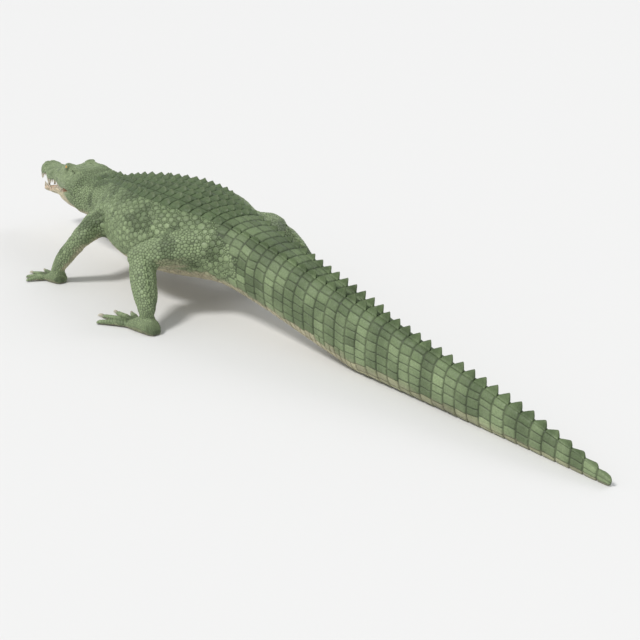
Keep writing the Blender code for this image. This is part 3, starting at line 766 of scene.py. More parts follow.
def skin_level(points):
    """Signed distance to the skin."""
    places = mirrored(np.asarray(points))
    s = places[..., 1] - SNOUT_Y
    head = 1 - smooth(s, 0.68, 0.75)
    foot = foot_share(places)
    total = np.zeros(s.shape)
    parts = (
        (head, HEAD_FIELD),
        (foot * (s < FEET_PART), FOOT_FIELDS[0]),
        (foot * (s >= FEET_PART), FOOT_FIELDS[1]),
        ((1 - head) * (1 - foot), BODY_FIELD),
    )
    for share, field in parts:
        use = share > 0
        if use.any():
            total[use] += share[use] * field(places[use])
    for add in (add_eye, add_nostrils, add_ears):
        total = add(total, places)
    return total


def settle(points, turns, most=0.006):
    """Moves points onto the skin."""
    for _ in range(turns):
        away = np.clip(skin_level(points), -most, most)
        points = points - slope(points) * away[..., None]
    points[..., 2] = np.maximum(points[..., 2], SKIN_LOW)
    return points


def onto(points, normals, turns=2, most=0.02):
    """Moves points onto the skin along given directions."""
    for _ in range(turns):
        points = points - normals * np.clip(skin_level(points), -most, most)[..., None]
    return points


# ---------------------------------------------------------------- markings
def mixed(a, b, share):
    return np.asarray(a) * (1 - share[..., None]) + np.asarray(b) * share[..., None]


def jaw_line(s):
    """Height at which the green of the head turns into the pale throat."""
    return RIM(s) + 0.008 - 0.085 * smooth(s, 0.46, 0.66)


def markings(points, normals):
    """The hide's colour anywhere on the animal."""
    s, x, z = located(points)
    middle = BOTTOM(s) + WIDEST * (TOP(s) - BOTTOM(s))
    height = np.where(z > middle, (z - middle) / (TOP(s) - middle), (z - middle) / (middle - BOTTOM(s)))
    ragged = 0.5 * (value_noise(points, 0.06, 1) - 0.5) + 0.3 * (value_noise(points, 0.02, 2) - 0.5)
    leg = smooth(x, HALF(s) + 0.012, HALF(s) + 0.05)
    head = 1 - smooth(s, 0.60, 0.72)
    colour = mixed(FLANK, BACK, 0.80 * smooth(height + 0.25 * ragged, 0.45, 0.95) * (1 - leg) * (1 - head))
    spots = smooth(value_noise(points, 0.085, 3) + 0.45 * ragged, 0.56, 0.74)
    bands = smooth(np.sin(math.tau * (s + 0.02 * ragged) / BAND_PITCH) + 1.1 * ragged, 0.25, 0.9)
    bands = bands * smooth(s, 1.95, 2.5)
    dark = np.clip(0.60 * spots * (1 - bands) + 0.62 * bands, 0, 1)
    colour = mixed(colour, BLOTCH, dark * (1 - 0.85 * head))
    belly = smooth(-height - 0.35 * ragged, 0.40, 0.66) * (1 - leg) * (1 - 0.5 * smooth(s, 2.6, 3.4))
    under = smooth(-normals[..., 2] - 0.3 * ragged, 0.25, 0.75) * leg
    colour = mixed(colour, BELLY, np.clip(belly * (1 - head) + 0.75 * under, 0, 1))
    colour = mixed(colour, SOLE, 0.8 * (1 - smooth(z, 0.004, 0.012)) * smooth(s, *LEGS_START))
    speckle = smooth(value_noise(points, 0.022, 4) + 0.4 * ragged, 0.60, 0.78)
    snout = mixed(mixed(SNOUT, BACK, 0.5 * smooth(s, 0.50, 0.66)), BLOTCH, 0.38 * speckle)
    jaw = smooth(-(z - jaw_line(s)) + 0.040 * ragged, -0.004, 0.012)
    flecks = 0.50 * speckle * smooth(z - RIM(s), -0.06, 0.0)
    snout = mixed(snout, mixed(BELLY, FLANK, flecks), jaw)
    return mixed(mixed(colour, snout, head), LINING, mouth_inside(points))


# ---------------------------------------------------------------- meshes
def in_scene(name, data):
    """A new object in the scene's collection."""
    made = bpy.data.objects.new(name, data)
    bpy.context.scene.collection.objects.link(made)
    return made


def new_object(name, points, faces, material, colours, uv=None):
    """A smooth mesh object from arrays. faces is an array, or a list of arrays with 3 or 4 corners."""
    lists = faces if isinstance(faces, list) else [faces]
    mesh = bpy.data.meshes.new(name)
    mesh.vertices.add(len(points))
    mesh.vertices.foreach_set("co", np.asarray(points, np.float32).reshape(-1))
    corners = np.concatenate([f.reshape(-1) for f in lists]).astype(np.int32)
    sizes = np.concatenate([np.full(len(f), f.shape[1], np.int32) for f in lists])
    mesh.loops.add(len(corners))
    mesh.loops.foreach_set("vertex_index", corners)
    mesh.polygons.add(len(sizes))
    mesh.polygons.foreach_set("loop_start", (np.cumsum(sizes) - sizes).astype(np.int32))
    mesh.update(calc_edges=True)
    mesh.shade_smooth()
    paint(mesh, colours)
    if uv is not None:
        layer = mesh.uv_layers.new(name="OFBake")
        layer.data.foreach_set("uv", uv[corners].astype(np.float32).reshape(-1))
    mesh.materials.append(material)
    made = in_scene(name, mesh)
    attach(made, "root")
    return made


def paint(mesh, colours):
    """Gives a mesh the colours of its points."""
    layer = mesh.color_attributes.new("hide", "FLOAT_COLOR", "POINT")
    rgba = np.concatenate([np.clip(colours, 0, 1), np.ones((len(colours), 1))], 1)
    layer.data.foreach_set("color", rgba.astype(np.float32).reshape(-1))


def skin_part(low, high, spacing, source):
    """Points and quads of the skin inside a box, from a coarse look first and an exact one near it."""
    field = Lattice(np.array((0.0, low[1], low[2])), high, spacing)
    places = field.points()
    field.values = source(places).astype(np.float32)
    near = np.abs(field.values) < 2.5 * spacing
    field.values[near] = skin_level(places[near])
    field.values = np.concatenate([field.values[:0:-1], field.values])
    field.low[0] = -(field.shape[0] - 1)
    return field.surface()


def refine(made, chosen):
    """Splits the chosen faces' edges in two."""
    made.faces.ensure_lookup_table()
    edges = {e for i in np.nonzero(chosen)[0] for e in made.faces[i].edges}
    bmesh.ops.subdivide_edges(made, edges=list(edges), cuts=1, use_grid_fill=True)


def face_spots(made):
    """The middles of a mesh's faces, as places on the left side."""
    return mirrored(np.array([f.calc_center_median() for f in made.faces]))


def make_skin(material):
    """One skin over the whole animal, finer on head and feet and finest round eyes and nostrils."""
    low, high = np.array(CAD_BOX[0]) - 0.02, np.array(CAD_BOX[1]) + 0.02
    split = SNOUT_Y + SKIN_SPLIT
    head_high = np.array((0.22, split + 0.02, high[2]))
    parts = (
        (1, skin_part((0, low[1], 0.1), head_high, HEAD_SKIN, HEAD_FIELD)),
        (-1, skin_part((0, split - 0.03, low[2]), high, SKIN_SPACING, BODY_FIELD)),
    )
    made = bmesh.new()
    for side, (points, quads) in parts:
        inside = points[quads].mean(1)[:, 1] * side < (split - side * 0.006) * side
        mesh = bpy.data.meshes.new("part")
        used, index = np.unique(quads[inside], return_inverse=True)
        mesh.from_pydata(points[used].tolist(), [], index.reshape(-1, 4)[:, ::-1].tolist())
        made.from_mesh(mesh)
        bpy.data.meshes.remove(mesh)
    rim = [e for e in made.edges if e.is_boundary and abs(e.verts[0].co.y - split) < 0.02]
    bmesh.ops.bridge_loops(made, edges=rim)
    spots = face_spots(made)
    s = spots[:, 1] - SNOUT_Y
    ear = (s > EAR_SLIT[0]) & (s < EAR_SLIT[1]) & (spots[:, 0] > 0.05)
    ear &= np.abs(ear_line(s, spots[:, 2])) < 0.014
    foot = (foot_share(spots) > 0.3) & (spots[:, 2] > 0.004)
    refine(made, near_eye_or_nostril(spots, 0.050, 0.030) | ear | foot)
    refine(made, near_eye_or_nostril(face_spots(made), 0.036, 0.020))
    mesh = bpy.data.meshes.new("skin")
    made.to_mesh(mesh)
    made.free()
    points = settle(mesh_points(mesh), 3)
    mesh.vertices.foreach_set("co", points.astype(np.float32).reshape(-1))
    mesh.update()
    mesh.shade_smooth()
    inside = mouth_inside(points)[:, None]
    # Painted shade: outside the mouth the skin shows only between scales, so it is darkened there
    paint(mesh, markings(points, slope(points)) * (CRACK_SHADE + (1 - CRACK_SHADE) * inside))
    mesh.materials.append(material)
    skin = in_scene("skin", mesh)
    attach(skin, "root")
    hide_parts("head", "lower_jaw", *TORSO_NODES, *LEG_NODES)
    return points, mesh_triangles(mesh)


# ---------------------------------------------------------------- the lie of the scales
def nearest_limb(places):
    """The index of the nearest part of a leg, and the distance along it between -1 and 1."""
    far, along = [], []
    for middle, axis, half in LIMBS:
        t = np.clip((places - middle) @ axis, -half, half)
        far.append(np.linalg.norm(places - middle - t[:, None] * axis, axis=-1))
        along.append(t / half)
    pick = np.argmin(far, 0)
    return pick, np.choose(pick, along)


def off_torso(places):
    """True on the legs, well clear of the torso's own outline."""
    return (TORSO_FIELD(places) > 0.010) & (places[:, 1] > SNOUT_Y + 0.8)


def lie_of(points, normals):
    """Unit vectors along the skin, in the direction that the scales point."""
    places = mirrored(points)
    pick, _ = nearest_limb(places)
    axes = np.array([axis for _, axis, _ in LIMBS])[pick]
    way = np.where(off_torso(places)[:, None], axes, (0.0, 1.0, 0.0))
    way = way * np.where(points[:, :1] < 0, (-1.0, 1.0, 1.0), (1.0, 1.0, 1.0))
    way = way - dots(way, normals)[:, None] * normals
    side = np.cross(normals, (0.6, 0.1, 0.2))
    return unit(np.where(np.linalg.norm(way, axis=1, keepdims=True) > 0.15, way, side))


def unwrapped(points):
    """Places on a flat unwrap of the skin: torso and head as one strip, and a strip for each leg."""
    places = mirrored(points)
    s = places[:, 1] - SNOUT_Y
    middle = (TOP(s) + BOTTOM(s)) / 2
    turn = np.arctan2(points[:, 0], points[:, 2] - middle) / math.tau + 0.5
    flat = np.stack([0.01 + 0.97 * s / LENGTH, 0.01 + 0.50 * turn], -1)
    pick, along = nearest_limb(places)
    centre, axis = (np.array([limb[k] for limb in LIMBS])[pick] for k in (0, 1))
    across = places - centre - dots(places - centre, axis)[:, None] * axis
    first = unit(np.cross(axis, (0.1, 0.9, 0.3)))
    turn = np.arctan2(dots(across, first), dots(across, np.cross(axis, first))) / math.tau + 0.5
    row = 2 * (pick // 3) + (points[:, 0] < 0)
    leg = np.stack([0.02 + 0.32 * (pick % 3) + 0.14 * (along + 1), 0.53 + 0.115 * row + 0.105 * turn], -1)
    return np.where(off_torso(places)[:, None], leg, flat)


# ---------------------------------------------------------------- toes
TOE = {"forefoot": (0.0155, 0.0125, 0.34), "hindfoot": (0.0185, 0.0150, 0.42)}  # width, pitch, first place
TOE_HEIGHT = 0.010  # of a toe's middle line over the floor
TOE_SPREAD = 1.45  # the largest turn of a toe from straight ahead
TOE_LEAST, TOE_APART = 0.078, 0.19  # shortest toe, and smallest angle between two
TOE_WRAP = 1.22  # how far round a toe its plates reach, as an angle from the top
TOE_CAP = 0.010  # length of the rounded end of a toe without a claw
CAP_TURN = (0.50, 1.12)  # a cap's middle over straight ahead, and half its height, as angles


def find_toes():
    """(ball, direction, length, part) of each toe of the left feet, from the tips of the solids."""
    found = []
    for part in TOE:
        points, _ = node_arrays(part + "_left")
        ball_y = points[:, 1].max() - 0.45 * np.ptp(points[:, 1])
        ball = np.array((points[points[:, 1] > ball_y, 0].mean(), ball_y, TOE_HEIGHT))
        away = points[:, :2] - ball[:2]
        length, angle = np.linalg.norm(away, axis=1), np.arctan2(away[:, 0], -away[:, 1])
        tips = []
        for index in np.argsort(-length):
            forward = abs(angle[index]) < TOE_SPREAD and length[index] > TOE_LEAST
            if forward and all(abs(angle[index] - angle[other]) > TOE_APART for other in tips):
                tips.append(index)
        for index in tips:
            way = np.array((math.sin(angle[index]), -math.cos(angle[index]), 0.0))
            clawed = any(tip_is_clawed(points[index], name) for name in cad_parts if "claw_left" in name)
            found.append((ball, way, float(length[index]) - (0.002 if clawed else TOE_CAP), part, clawed))
    return found


def tip_is_clawed(tip, name):
    """True if a claw of the solids stands at a toe's tip."""
    low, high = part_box(name)
    return all(low[k] - 0.012 < tip[k] < high[k] + 0.012 for k in range(2))


TOES = find_toes()


def on_toes(places):
    """True on the tops of the toes, where cross plates take the place of small scales."""
    found = np.zeros(len(places), bool)
    for ball, way, length, part, clawed in TOES:
        width, _, first = TOE[part]
        p = places - ball
        along = p @ way
        out = np.abs(p @ np.array((-way[1], way[0], 0.0)))
        upper = (np.arctan2(out, p[:, 2]) < TOE_WRAP) & (out < 1.3 * width)
        found |= (along > first * length) & (along < length) & upper
        if not clawed:
            found |= (np.abs(along - length - 0.008) < 0.012) & (out < 0.012)
    return found & (places[:, 2] < 0.07)


# ---------------------------------------------------------------- where the large plates stand
def find_apexes(name):
    """(s, q, rise) of each raised point of a node on the left side or in the middle."""
    points, _ = node_arrays(name)
    rise = TORSO_FIELD(mirrored(points))
    found = points[(rise > 0.006) & (points[:, 0] > -1e-4)]
    s = found[:, 1] - SNOUT_Y
    return sorted(zip(s.round(4), TORSO.across(found), TORSO_FIELD(found)))


def grouped(apexes):
    """Apexes sorted into cross rows."""
    rows = {}
    for s, q, rise in apexes:
        rows.setdefault(float(s), []).append((float(q), float(rise)))
    return sorted((s, sorted(row)) for s, row in rows.items())


def find_whorls():
    """(start, end, apex, q, rise) of each ring of tail scales and of the crest on it."""
    found = []
    for name in TORSO_NODES[2:]:
        places = [s for s, _ in rings_of(name, TORSO_RING)]
        rows = grouped(find_apexes(name))
        for start, apex, end in zip(places[0::2], places[1::2], places[2::2]):
            row = [row for s, row in rows if abs(s - apex) < 0.002]
            if row:
                q, rise = max(row[0], key=lambda pair: pair[1])
                found.append((start, end, apex, q, rise))
    return found


def tail_spans():
    """(start, end, q0, q1) and keel of each plate of the tail, a ring of them to each tooth of the crest."""
    random = np.random.default_rng(3)
    spans, keels = [], []
    for start, end, _, q, _ in WHORLS:
        around = float(TORSO.around(start))
        foot = CREST_FOOT / around
        inner = ()
        if q > 0.02:
            inner = np.linspace(0.0, q - foot, 1 + max(1, round((q - foot) * around / INNER_PLATE)))
        for a, b in zip(inner, inner[1:]):
            spans.append((start, end, a, b))
            keels.append(INNER_KEEL)
        count = max(3, round((1 - q - foot) * around / RING_PLATE))
        edges = np.linspace(q + foot, 1.0, count + 1)
        edges[1:-1] += random.normal(0, 0.09, count - 1) / count
        for a, b in zip(edges, edges[1:]):
            middle = (start + end) / 2
            halves = ((start, middle), (middle, end)) if a > 0.62 and start < 3.0 else ((start, end),)
            hip = HIP_REACH * bump((a + b) / 2, HIP_MIDDLE, HIP_WIDTH)
            for s0, s1 in halves:
                if (s0 + s1) / 2 > TRUNK[1] + hip:
                    spans.append((s0, s1, a, b))
                    keels.append(RING_KEEL * max(0.0, 1 - 2 * a))
    return spans, keels


OUTER_SHARE = 0.62  # width of the outermost plates past their keels, in spaces between keels
NUCHALS = grouped(find_apexes("neck"))
NUCHAL_LENGTH = 0.070
SHIELD = grouped(find_apexes("trunk"))
WHORLS = find_whorls()
PITCH = (TRUNK[1] - TRUNK[0]) / len(SHIELD)
BELLY_EDGE, BELLY_START = 0.70, 0.70  # the belly's plates: least q and least s
HIP_REACH, HIP_MIDDLE, HIP_WIDTH = 0.21, 0.50, 0.20  # small scales behind each hip: length, q and its spread
HIP_END = TRUNK[1] + HIP_REACH
CREST_FOOT, INNER_PLATE, RING_PLATE = 0.011, 0.050, 0.040  # half-width of the crest's foot, widths of plates
INNER_KEEL, RING_KEEL = 0.0055, 0.0016  # heights of the keels between the crests and outside them
TAIL_SPANS, TAIL_KEELS = tail_spans()


def plated(places, spare=0.003):
    """True where large plates grow, so that no small scale does. spare widens the plates behind the hips."""
    s, q = places[..., 1] - SNOUT_Y, TORSO.across(places)
    found = (s > TRUNK[0]) & (s < TRUNK[1]) & (q < shield_edge(s))
    found |= (s > BELLY_START) & (s < TRUNK[1]) & (q > BELLY_EDGE) | (s > HIP_END)
    moved_s, moved_q = drifted(s, q)
    own_s, own_q, more = 2 * s - moved_s, 2 * q - moved_q, spare / TORSO.around(TRUNK[1])
    for s0, s1, q0, q1 in TAIL_SPANS:
        if s0 < HIP_END:
            found |= (own_s > s0 - spare) & (own_s < s1 + spare) & (own_q > q0 - more) & (own_q < q1 + more)
    found |= (s > TRUNK[1]) & (q < WHORLS[0][3] + 0.05)
    for row_s, row in NUCHALS:
        found |= (np.abs(s - row_s) < 0.5 * NUCHAL_LENGTH) & (q < outer_edge(row))
    return found & (TORSO_FIELD(places) < 0.012)


def shield_edge(s):
    """q of the outer edge of the back's plates."""
    return np.interp(s, [row[0] for row in SHIELD], [outer_edge(row[1]) for row in SHIELD])


def outer_edge(row):
    """q of the outer edge of the last plate of a cross row."""
    return row[-1][0] + OUTER_SHARE * (row[-1][0] - row[-2][0]) if len(row) > 1 else 2.1 * row[0][0]


# ---------------------------------------------------------------- small scales
EYE_SCALE, NOSTRIL_SCALE, EAR_SCALE = 0.0044, 0.0050, 0.0052  # widths next to these
HEAD_SCALE, NECK_SCALE, FLANK_SCALE = 0.0128, 0.0155, 0.030  # widths farther off, there and on the flanks
FINE_SCALE = 0.0105  # width between the large scales of the flanks, and below which a scale is made simpler
SCALE_AREA = 0.87  # of a scale, in squares of its width
LEG_SCALES = ((0.08, 0.22, 0.38, 0.9), (0.0078, 0.0100, 0.0140, 0.0175))  # share of a leg's height, and width
LEG_HEIGHTS = (0.30, 0.33)  # of fore and hind legs


def scatter(points, triangles, size_of):
    """Random places on the skin, as many as scales of the wanted size fill it."""
    corners = points[triangles]
    first, second = corners[:, 1] - corners[:, 0], corners[:, 2] - corners[:, 0]
    area = 0.5 * np.linalg.norm(np.cross(first, second), axis=1)
    size = size_of(corners.mean(1))
    total = np.cumsum(np.where(size > 0, area / (SCALE_AREA * np.maximum(size, 1e-3) ** 2), 0))
    picks = np.arange(int(total[-1])) + RNG.random(int(total[-1]))
    chosen = np.minimum(np.searchsorted(total, picks), len(corners) - 1)
    a, b = RNG.random((2, len(picks), 1))
    a, b = np.where(a + b > 1, 1 - a, a), np.where(a + b > 1, 1 - b, b)
    return corners[chosen, 0] + a * first[chosen] + b * second[chosen]


def neighbours(points, count):
    """Indices of the nearest other points of each point."""
    tree = KDTree(len(points))
    for index, point in enumerate(points):
        tree.insert(point, index)
    tree.balance()
    return np.array([[hit[1] for hit in tree.find_n(point, count + 1)][1:] for point in points])


def relaxed(points, sizes, fixed, rounds=8):
    """Pushes crowded places apart along the skin."""
    for turn in range(rounds):
        if turn % 3 == 0:
            close = neighbours(points, 8)
        apart = points[:, None] - points[close]
        length = np.linalg.norm(apart, axis=2)
        wanted = 0.53 * (sizes[:, None] + sizes[close])
        push = np.clip(1 - length / wanted, 0, 1) * wanted / np.maximum(length, 1e-6)
        move = 0.32 * (apart * push[..., None]).sum(1)
        points = np.where(fixed[:, None], points, settle(points + move, 1))
    return points


# Cross-sections of scales: share of the way out, height, and brightness that paints light on the crowns and
# shade at the edges and in the pits
LOW_DOME = ((0.0, 1.0, 1.06), (0.62, 0.84, 1.02), (0.98, 0.12, 0.66), (1.04, -0.45, 0.50))
DOME = ((0.0, 1.0, 1.06), (0.52, 0.92, 1.03), (0.84, 0.62, 0.92), (0.98, 0.12, 0.64), (1.04, -0.45, 0.48))
CRACKED = ((0.0, 0.96, 1.03), (0.80, 1.0, 1.03), (0.945, 0.70, 0.88), (1.0, 0.05, 0.60), (1.035, -0.50, 0.46))
PITTED = ((0.0, 0.62, 0.30), (0.09, 0.68, 0.42), (0.16, 1.0, 0.98), *CRACKED[1:])
KINDS = {  # cross-section, sides, gap, rounding of the outline, roughness, and reach in widths
    "scales_head": (CRACKED, 12, 0.0003, 0.05, 0.0006, 1.1),
    "scales_jaws": (PITTED, 12, 0.0003, 0.05, 0.0004, 1.1),
    "scales_body": (DOME, 12, 0.0006, 0.13, 0.0007, 0.85),
    "scales_fine": (LOW_DOME, 8, 0.0005, 0.10, 0.0002, 0.85),
}


def dome(profile, ways):
    """Share of the way out, direction, height and brightness (painted light and shade) at each point of a
    scale, its middle first.
    """
    turns = np.concatenate([[0.0], np.tile(directions(ways), len(profile) - 1)])
    rings = np.repeat(profile, [1] + [ways] * (len(profile) - 1), 0)
    return rings[:, 0], turns, rings[:, 1], rings[:, 2]


def patch(points, u, v):
    """Places on the unwrap: a small square for each scale, round the place of its middle."""
    return unwrapped(points)[:, None] + PATCH * np.stack([u, v], -1)


def reaches(points, sizes, stretch, axis, side, ways, most):
    """How far each scale reaches in each direction before it meets a neighbour."""
    close = neighbours(points, 14)
    gap = points[close] - points[:, None]
    da = np.einsum("ijk,ik->ij", gap, axis) / stretch[:, None]
    db = np.einsum("ijk,ik->ij", gap, side)
    turn = directions(ways)
    toward = da[..., None] * np.cos(turn) + db[..., None] * np.sin(turn)
    squares = (da**2 + db**2 + (sizes[:, None] / 2) ** 2 - (sizes[close] / 2) ** 2)[..., None]
    reach = np.where(toward > 1e-4, squares / (2 * np.maximum(toward, 1e-4)), 1.0).min(1)
    return np.clip(reach, 0.22 * sizes[:, None], most * sizes[:, None])


def small_scales(name, material, points, sizes, stretch, heights, keel, mask):
    """One joined mesh of scales: each fills its share of the skin between its neighbours."""
    profile, ways, groove, soft, grain, most = KINDS[name]
    normals = slope(points)
    axis = lie_of(points, normals)
    side = np.cross(normals, axis)
    reach = reaches(points, sizes, stretch, axis, side, ways, most)
    reach = (1 - 2 * soft) * reach + soft * (np.roll(reach, 1, 1) + np.roll(reach, -1, 1)) - groove / 2
    points, normals, axis, side, reach = (v[mask] for v in (points, normals, axis, side, reach))
    stretch, heights, keel = (v[mask, None] for v in (stretch, heights, keel))
    turn = directions(ways)
    out = (np.cos(turn) * stretch * reach)[..., None] * axis[:, None]
    out = out + (np.sin(turn) * reach)[..., None] * side[:, None]
    shape = np.concatenate([points[:, None]] + [points[:, None] + ring[0] * out for ring in profile[1:]], 1)
    share, turns, lift, rim = dome(profile, ways)
    across, back = np.abs(np.sin(turns)) * share, np.cos(turns) * share
    ridge = np.clip(1 - across / 0.55, 0, 1) * np.clip(1.1 - share, 0, 1) * (1 + 0.5 * back)
    lift = lift * heights + keel * ridge
    lift = lift + grain * (value_noise(shape, 0.0042, 9) - 0.5) * (share < 0.9)
    wide = np.repeat(normals[:, None], shape.shape[1], 1)
    made = onto(shape, wide, 2, 0.006) + wide * lift[..., None]
    made[..., 2] = np.maximum(made[..., 2], COAT_LOW)
    tone = 1 + 0.10 * RNG.standard_normal((len(points), 1))
    # Random tone times rim, the profile's painted light on the crown and painted shade at the edges
    colours = markings(points, normals)[:, None] * (tone * rim)[..., None]
    flat = patch(points, back, np.sign(back) * across)
    batches(name, material, made, dome_faces(len(points), ways, len(profile)), colours, flat)


def dome_faces(count, ways, rings):
    """Triangles and quads of domes: a middle point and rings round it."""
    ahead = (np.arange(ways) + 1) % ways
    fan = np.stack([np.zeros(ways, int), 1 + np.arange(ways), 1 + ahead], -1)
    bands = []
    for ring in range(rings - 2):
        a, b = 1 + ring * ways + np.arange(ways), 1 + ring * ways + ahead
        bands.append(np.stack([a, a + ways, b + ways, b], -1))
    start = (np.arange(count) * (1 + (rings - 1) * ways))[:, None, None]
    return [(fan + start).reshape(-1, 3), (np.concatenate(bands) + start).reshape(-1, 4)]


def batches(name, material, points, faces, colours, flat, most=190000):
    """Objects of at most so many triangles from blocks of points that are alike."""
    blocks, size = points.shape[:2]
    triangles = sum(len(f) * (f.shape[1] - 2) for f in faces)
    parts = -(-triangles // most)
    for part in range(parts):
        rows = slice(blocks * part // parts, blocks * (part + 1) // parts)
        own = [f.reshape(blocks, -1, f.shape[1])[rows] - rows.start * size for f in faces]
        own = [f.reshape(-1, f.shape[2]) for f in own]
        label = name if parts == 1 else f"{name}_{part + 1}"
        co, hide, uv = (v[rows].reshape(-1, v.shape[-1]) for v in (points, colours, flat))
        made = new_object(label, co, own, material, hide, uv)


def on_flank(places):
    """True on the sides of the trunk and behind the hips."""
    s = places[:, 1] - SNOUT_Y
    return (s > TRUNK[0]) & (s < HIP_END) & ~off_torso(places)


def scale_size(points):
    """Width of the small scales at a place, 0 where none grow."""
    places = mirrored(points)
    s, out, z = located(places)
    eye, nostril = distance(places, EYE_CENTRE), distance(places, NOSTRIL_CENTRE)
    head = np.clip(EYE_SCALE + 0.17 * (eye - EYE_RADIUS - 0.001), EYE_SCALE, HEAD_SCALE)
    head = np.minimum(head, np.clip(NOSTRIL_SCALE + 0.16 * (nostril - 0.010), NOSTRIL_SCALE, HEAD_SCALE))
    line = ear_line(s, z)
    ear = (s > EAR_SLIT[0] - 0.004) & (s < EAR_SLIT[1] + 0.004) & (out > 0.055)
    head = np.where(ear & (line > 0) & (line < 0.016), EAR_SCALE, head)
    head = head * (1 - 0.22 * smooth(RIM(s) + 0.012 - z, 0.0, 0.02))
    neck = smooth(s, 0.58, 0.70)
    size = head * (1 - neck) + NECK_SCALE * neck
    leg = np.interp(z / np.where(s < FEET_PART, *LEG_HEIGHTS), *LEG_SCALES)
    size = np.where(off_torso(places), leg, size)
    size = np.where(on_flank(places), FINE_SCALE, size)
    size[plated(places) | (mouth_inside(places) > 0.4) | (eye < EYE_RADIUS + 0.0012)] = 0
    size[(z < 0.006) & (s > 0.7)] = 0
    deep = (s > EAR_SLIT[0] + 0.010) & (s < EAR_SLIT[1] - 0.018)
    size[ear & deep & (np.abs(line) < 0.0036)] = 0
    size[on_toes(places)] = 0
    return size


def flank_seeds():
    """Places of the large scales of the flanks: staggered rows, two to each row of back plates."""
    found = []
    for row in range(int((HIP_END - TRUNK[0]) / (PITCH / 2))):
        s = TRUNK[0] + (row + 0.5) * PITCH / 2
        first = float(shield_edge(s))
        count = int((BELLY_EDGE - first) * TORSO.around(s) / 0.036)
        for k in range(count):
            found.append((s, first + (k + 0.5 + 0.25 * (-1) ** row) * (BELLY_EDGE - first) / count))
    s, q = np.array(found).T
    s = s + RNG.normal(0, 0.0022, len(s))
    q = q + RNG.normal(0, 0.0030, len(q))
    both = [TORSO.points(s, q, side) for side in (1, -1)]
    points = settle(np.concatenate(both), 3, 0.02)
    return points[~off_torso(mirrored(points)) & ~plated(mirrored(points), 0.012)]


def make_small_scales(skin, triangles, material):
    """The scales of head, neck, flanks and legs."""
    loose = scatter(skin, triangles, scale_size)
    seeds = flank_seeds()
    sizes = scale_size(loose)
    keep = sizes > 0
    loose, sizes = loose[keep], sizes[keep]
    sizes = sizes * np.exp(RNG.normal(0, 1, keep.sum()) * np.where(loose[:, 1] < SNOUT_Y + 0.60, 0.19, 0.13))
    between = on_flank(mirrored(loose)) & (np.abs(sizes - FINE_SCALE) < 0.006)
    keep = ~between | (RNG.random(len(loose)) < 0.45)
    points = np.concatenate([seeds, loose[keep]])
    sizes = np.concatenate([FLANK_SCALE * np.exp(RNG.normal(0, 0.10, len(seeds))), sizes[keep]])
    large = np.arange(len(points)) < len(seeds)
    points = relaxed(points, sizes, large)
    places = mirrored(points)
    s = places[:, 1] - SNOUT_Y
    head = s < 0.62
    stretch = np.where(large, 1.18, np.where(head, 1.05, 1.12))
    upper = np.clip(1 - TORSO.across(places) / 0.6, 0, 1)
    keel = np.where(large, 0.0022 * upper, np.where((s > 0.64) & (s < 1.0), 0.0010, 0.0))
    heights = np.where(head, 0.62, 0.80) * coat_depth(places)
    side_of_jaw = (places[:, 2] < LIP(s) + 0.050) & (s < 0.52) & (sizes > 0.0085)
    pitted = head & side_of_jaw & (RNG.random(len(points)) < 0.75)
    fine = ~head & (sizes < FINE_SCALE)
    masks = {"head": head & ~pitted, "jaws": pitted, "body": ~head & ~fine, "fine": fine}
    for word, mask in masks.items():
        small_scales("scales_" + word, material, points, sizes, stretch, heights, keel, mask)


# ---------------------------------------------------------------- large plates
KEEL_SPARE = 0.0026  # keeps the roughness on the keels inside the solids
FRINGES = {"forearm": (8, 0.014, 0.010), "shank": (9, 0.018, 0.014)}  # number, half-length and height
FRINGE_WAYS, FRINGE_ROOT, FRINGE_DEPTH = 10, 0.004, 0.0055
HIND_EDGE = np.array((0.35, 1.0, 0.1))  # the way to the hind edge of a leg
CREST_SIDE = 0.62  # share of a crest tooth's sheet that stands up; the rest is its foot
THIN_TAIL = 0.05  # where half the girth is less, shapes across the tail get narrower with it


def sheet(rows, columns):
    """Places of a grid from -1 to 1 both ways, closer together at its edges, and its quads."""
    along, across = np.linspace(-1, 1, rows), np.linspace(-1, 1, columns)
    u, v = np.meshgrid(along * (1.3 - 0.3 * along**2), across * (1.3 - 0.3 * across**2), indexing="ij")
    i, j = np.meshgrid(np.arange(rows - 1), np.arange(columns - 1), indexing="ij")
    a = (i * columns + j).reshape(-1)
    return u.reshape(-1), v.reshape(-1), np.stack([a, a + 1, a + columns + 1, a + columns], -1)


def rimmed(u, v, width):
    """0 at a sheet's edge, rising to 1 inside it as a quarter circle does."""
    inside = np.clip((1 - np.maximum(np.abs(u), np.abs(v))) / width, 0, 1)
    return np.sqrt(1 - (1 - inside) ** 2)


def drifted(s, q):
    """s and q moved a little, smoothly from place to place, so that no row of plates is quite straight."""
    arc = q * TORSO.around(s)
    place = np.stack(np.broadcast_arrays(s, arc, 0.0), -1)
    ends = smooth(q, 0.0, 0.06) * (1 - smooth(q, 0.94, 1.0))
    along = s + 0.010 * (value_noise(place, 0.090, 21) - 0.5)
    across = ends * 0.012 * (value_noise(place, 0.080, 22) - 0.5)
    return along, q + across / np.maximum(TORSO.around(s), THIN_TAIL)


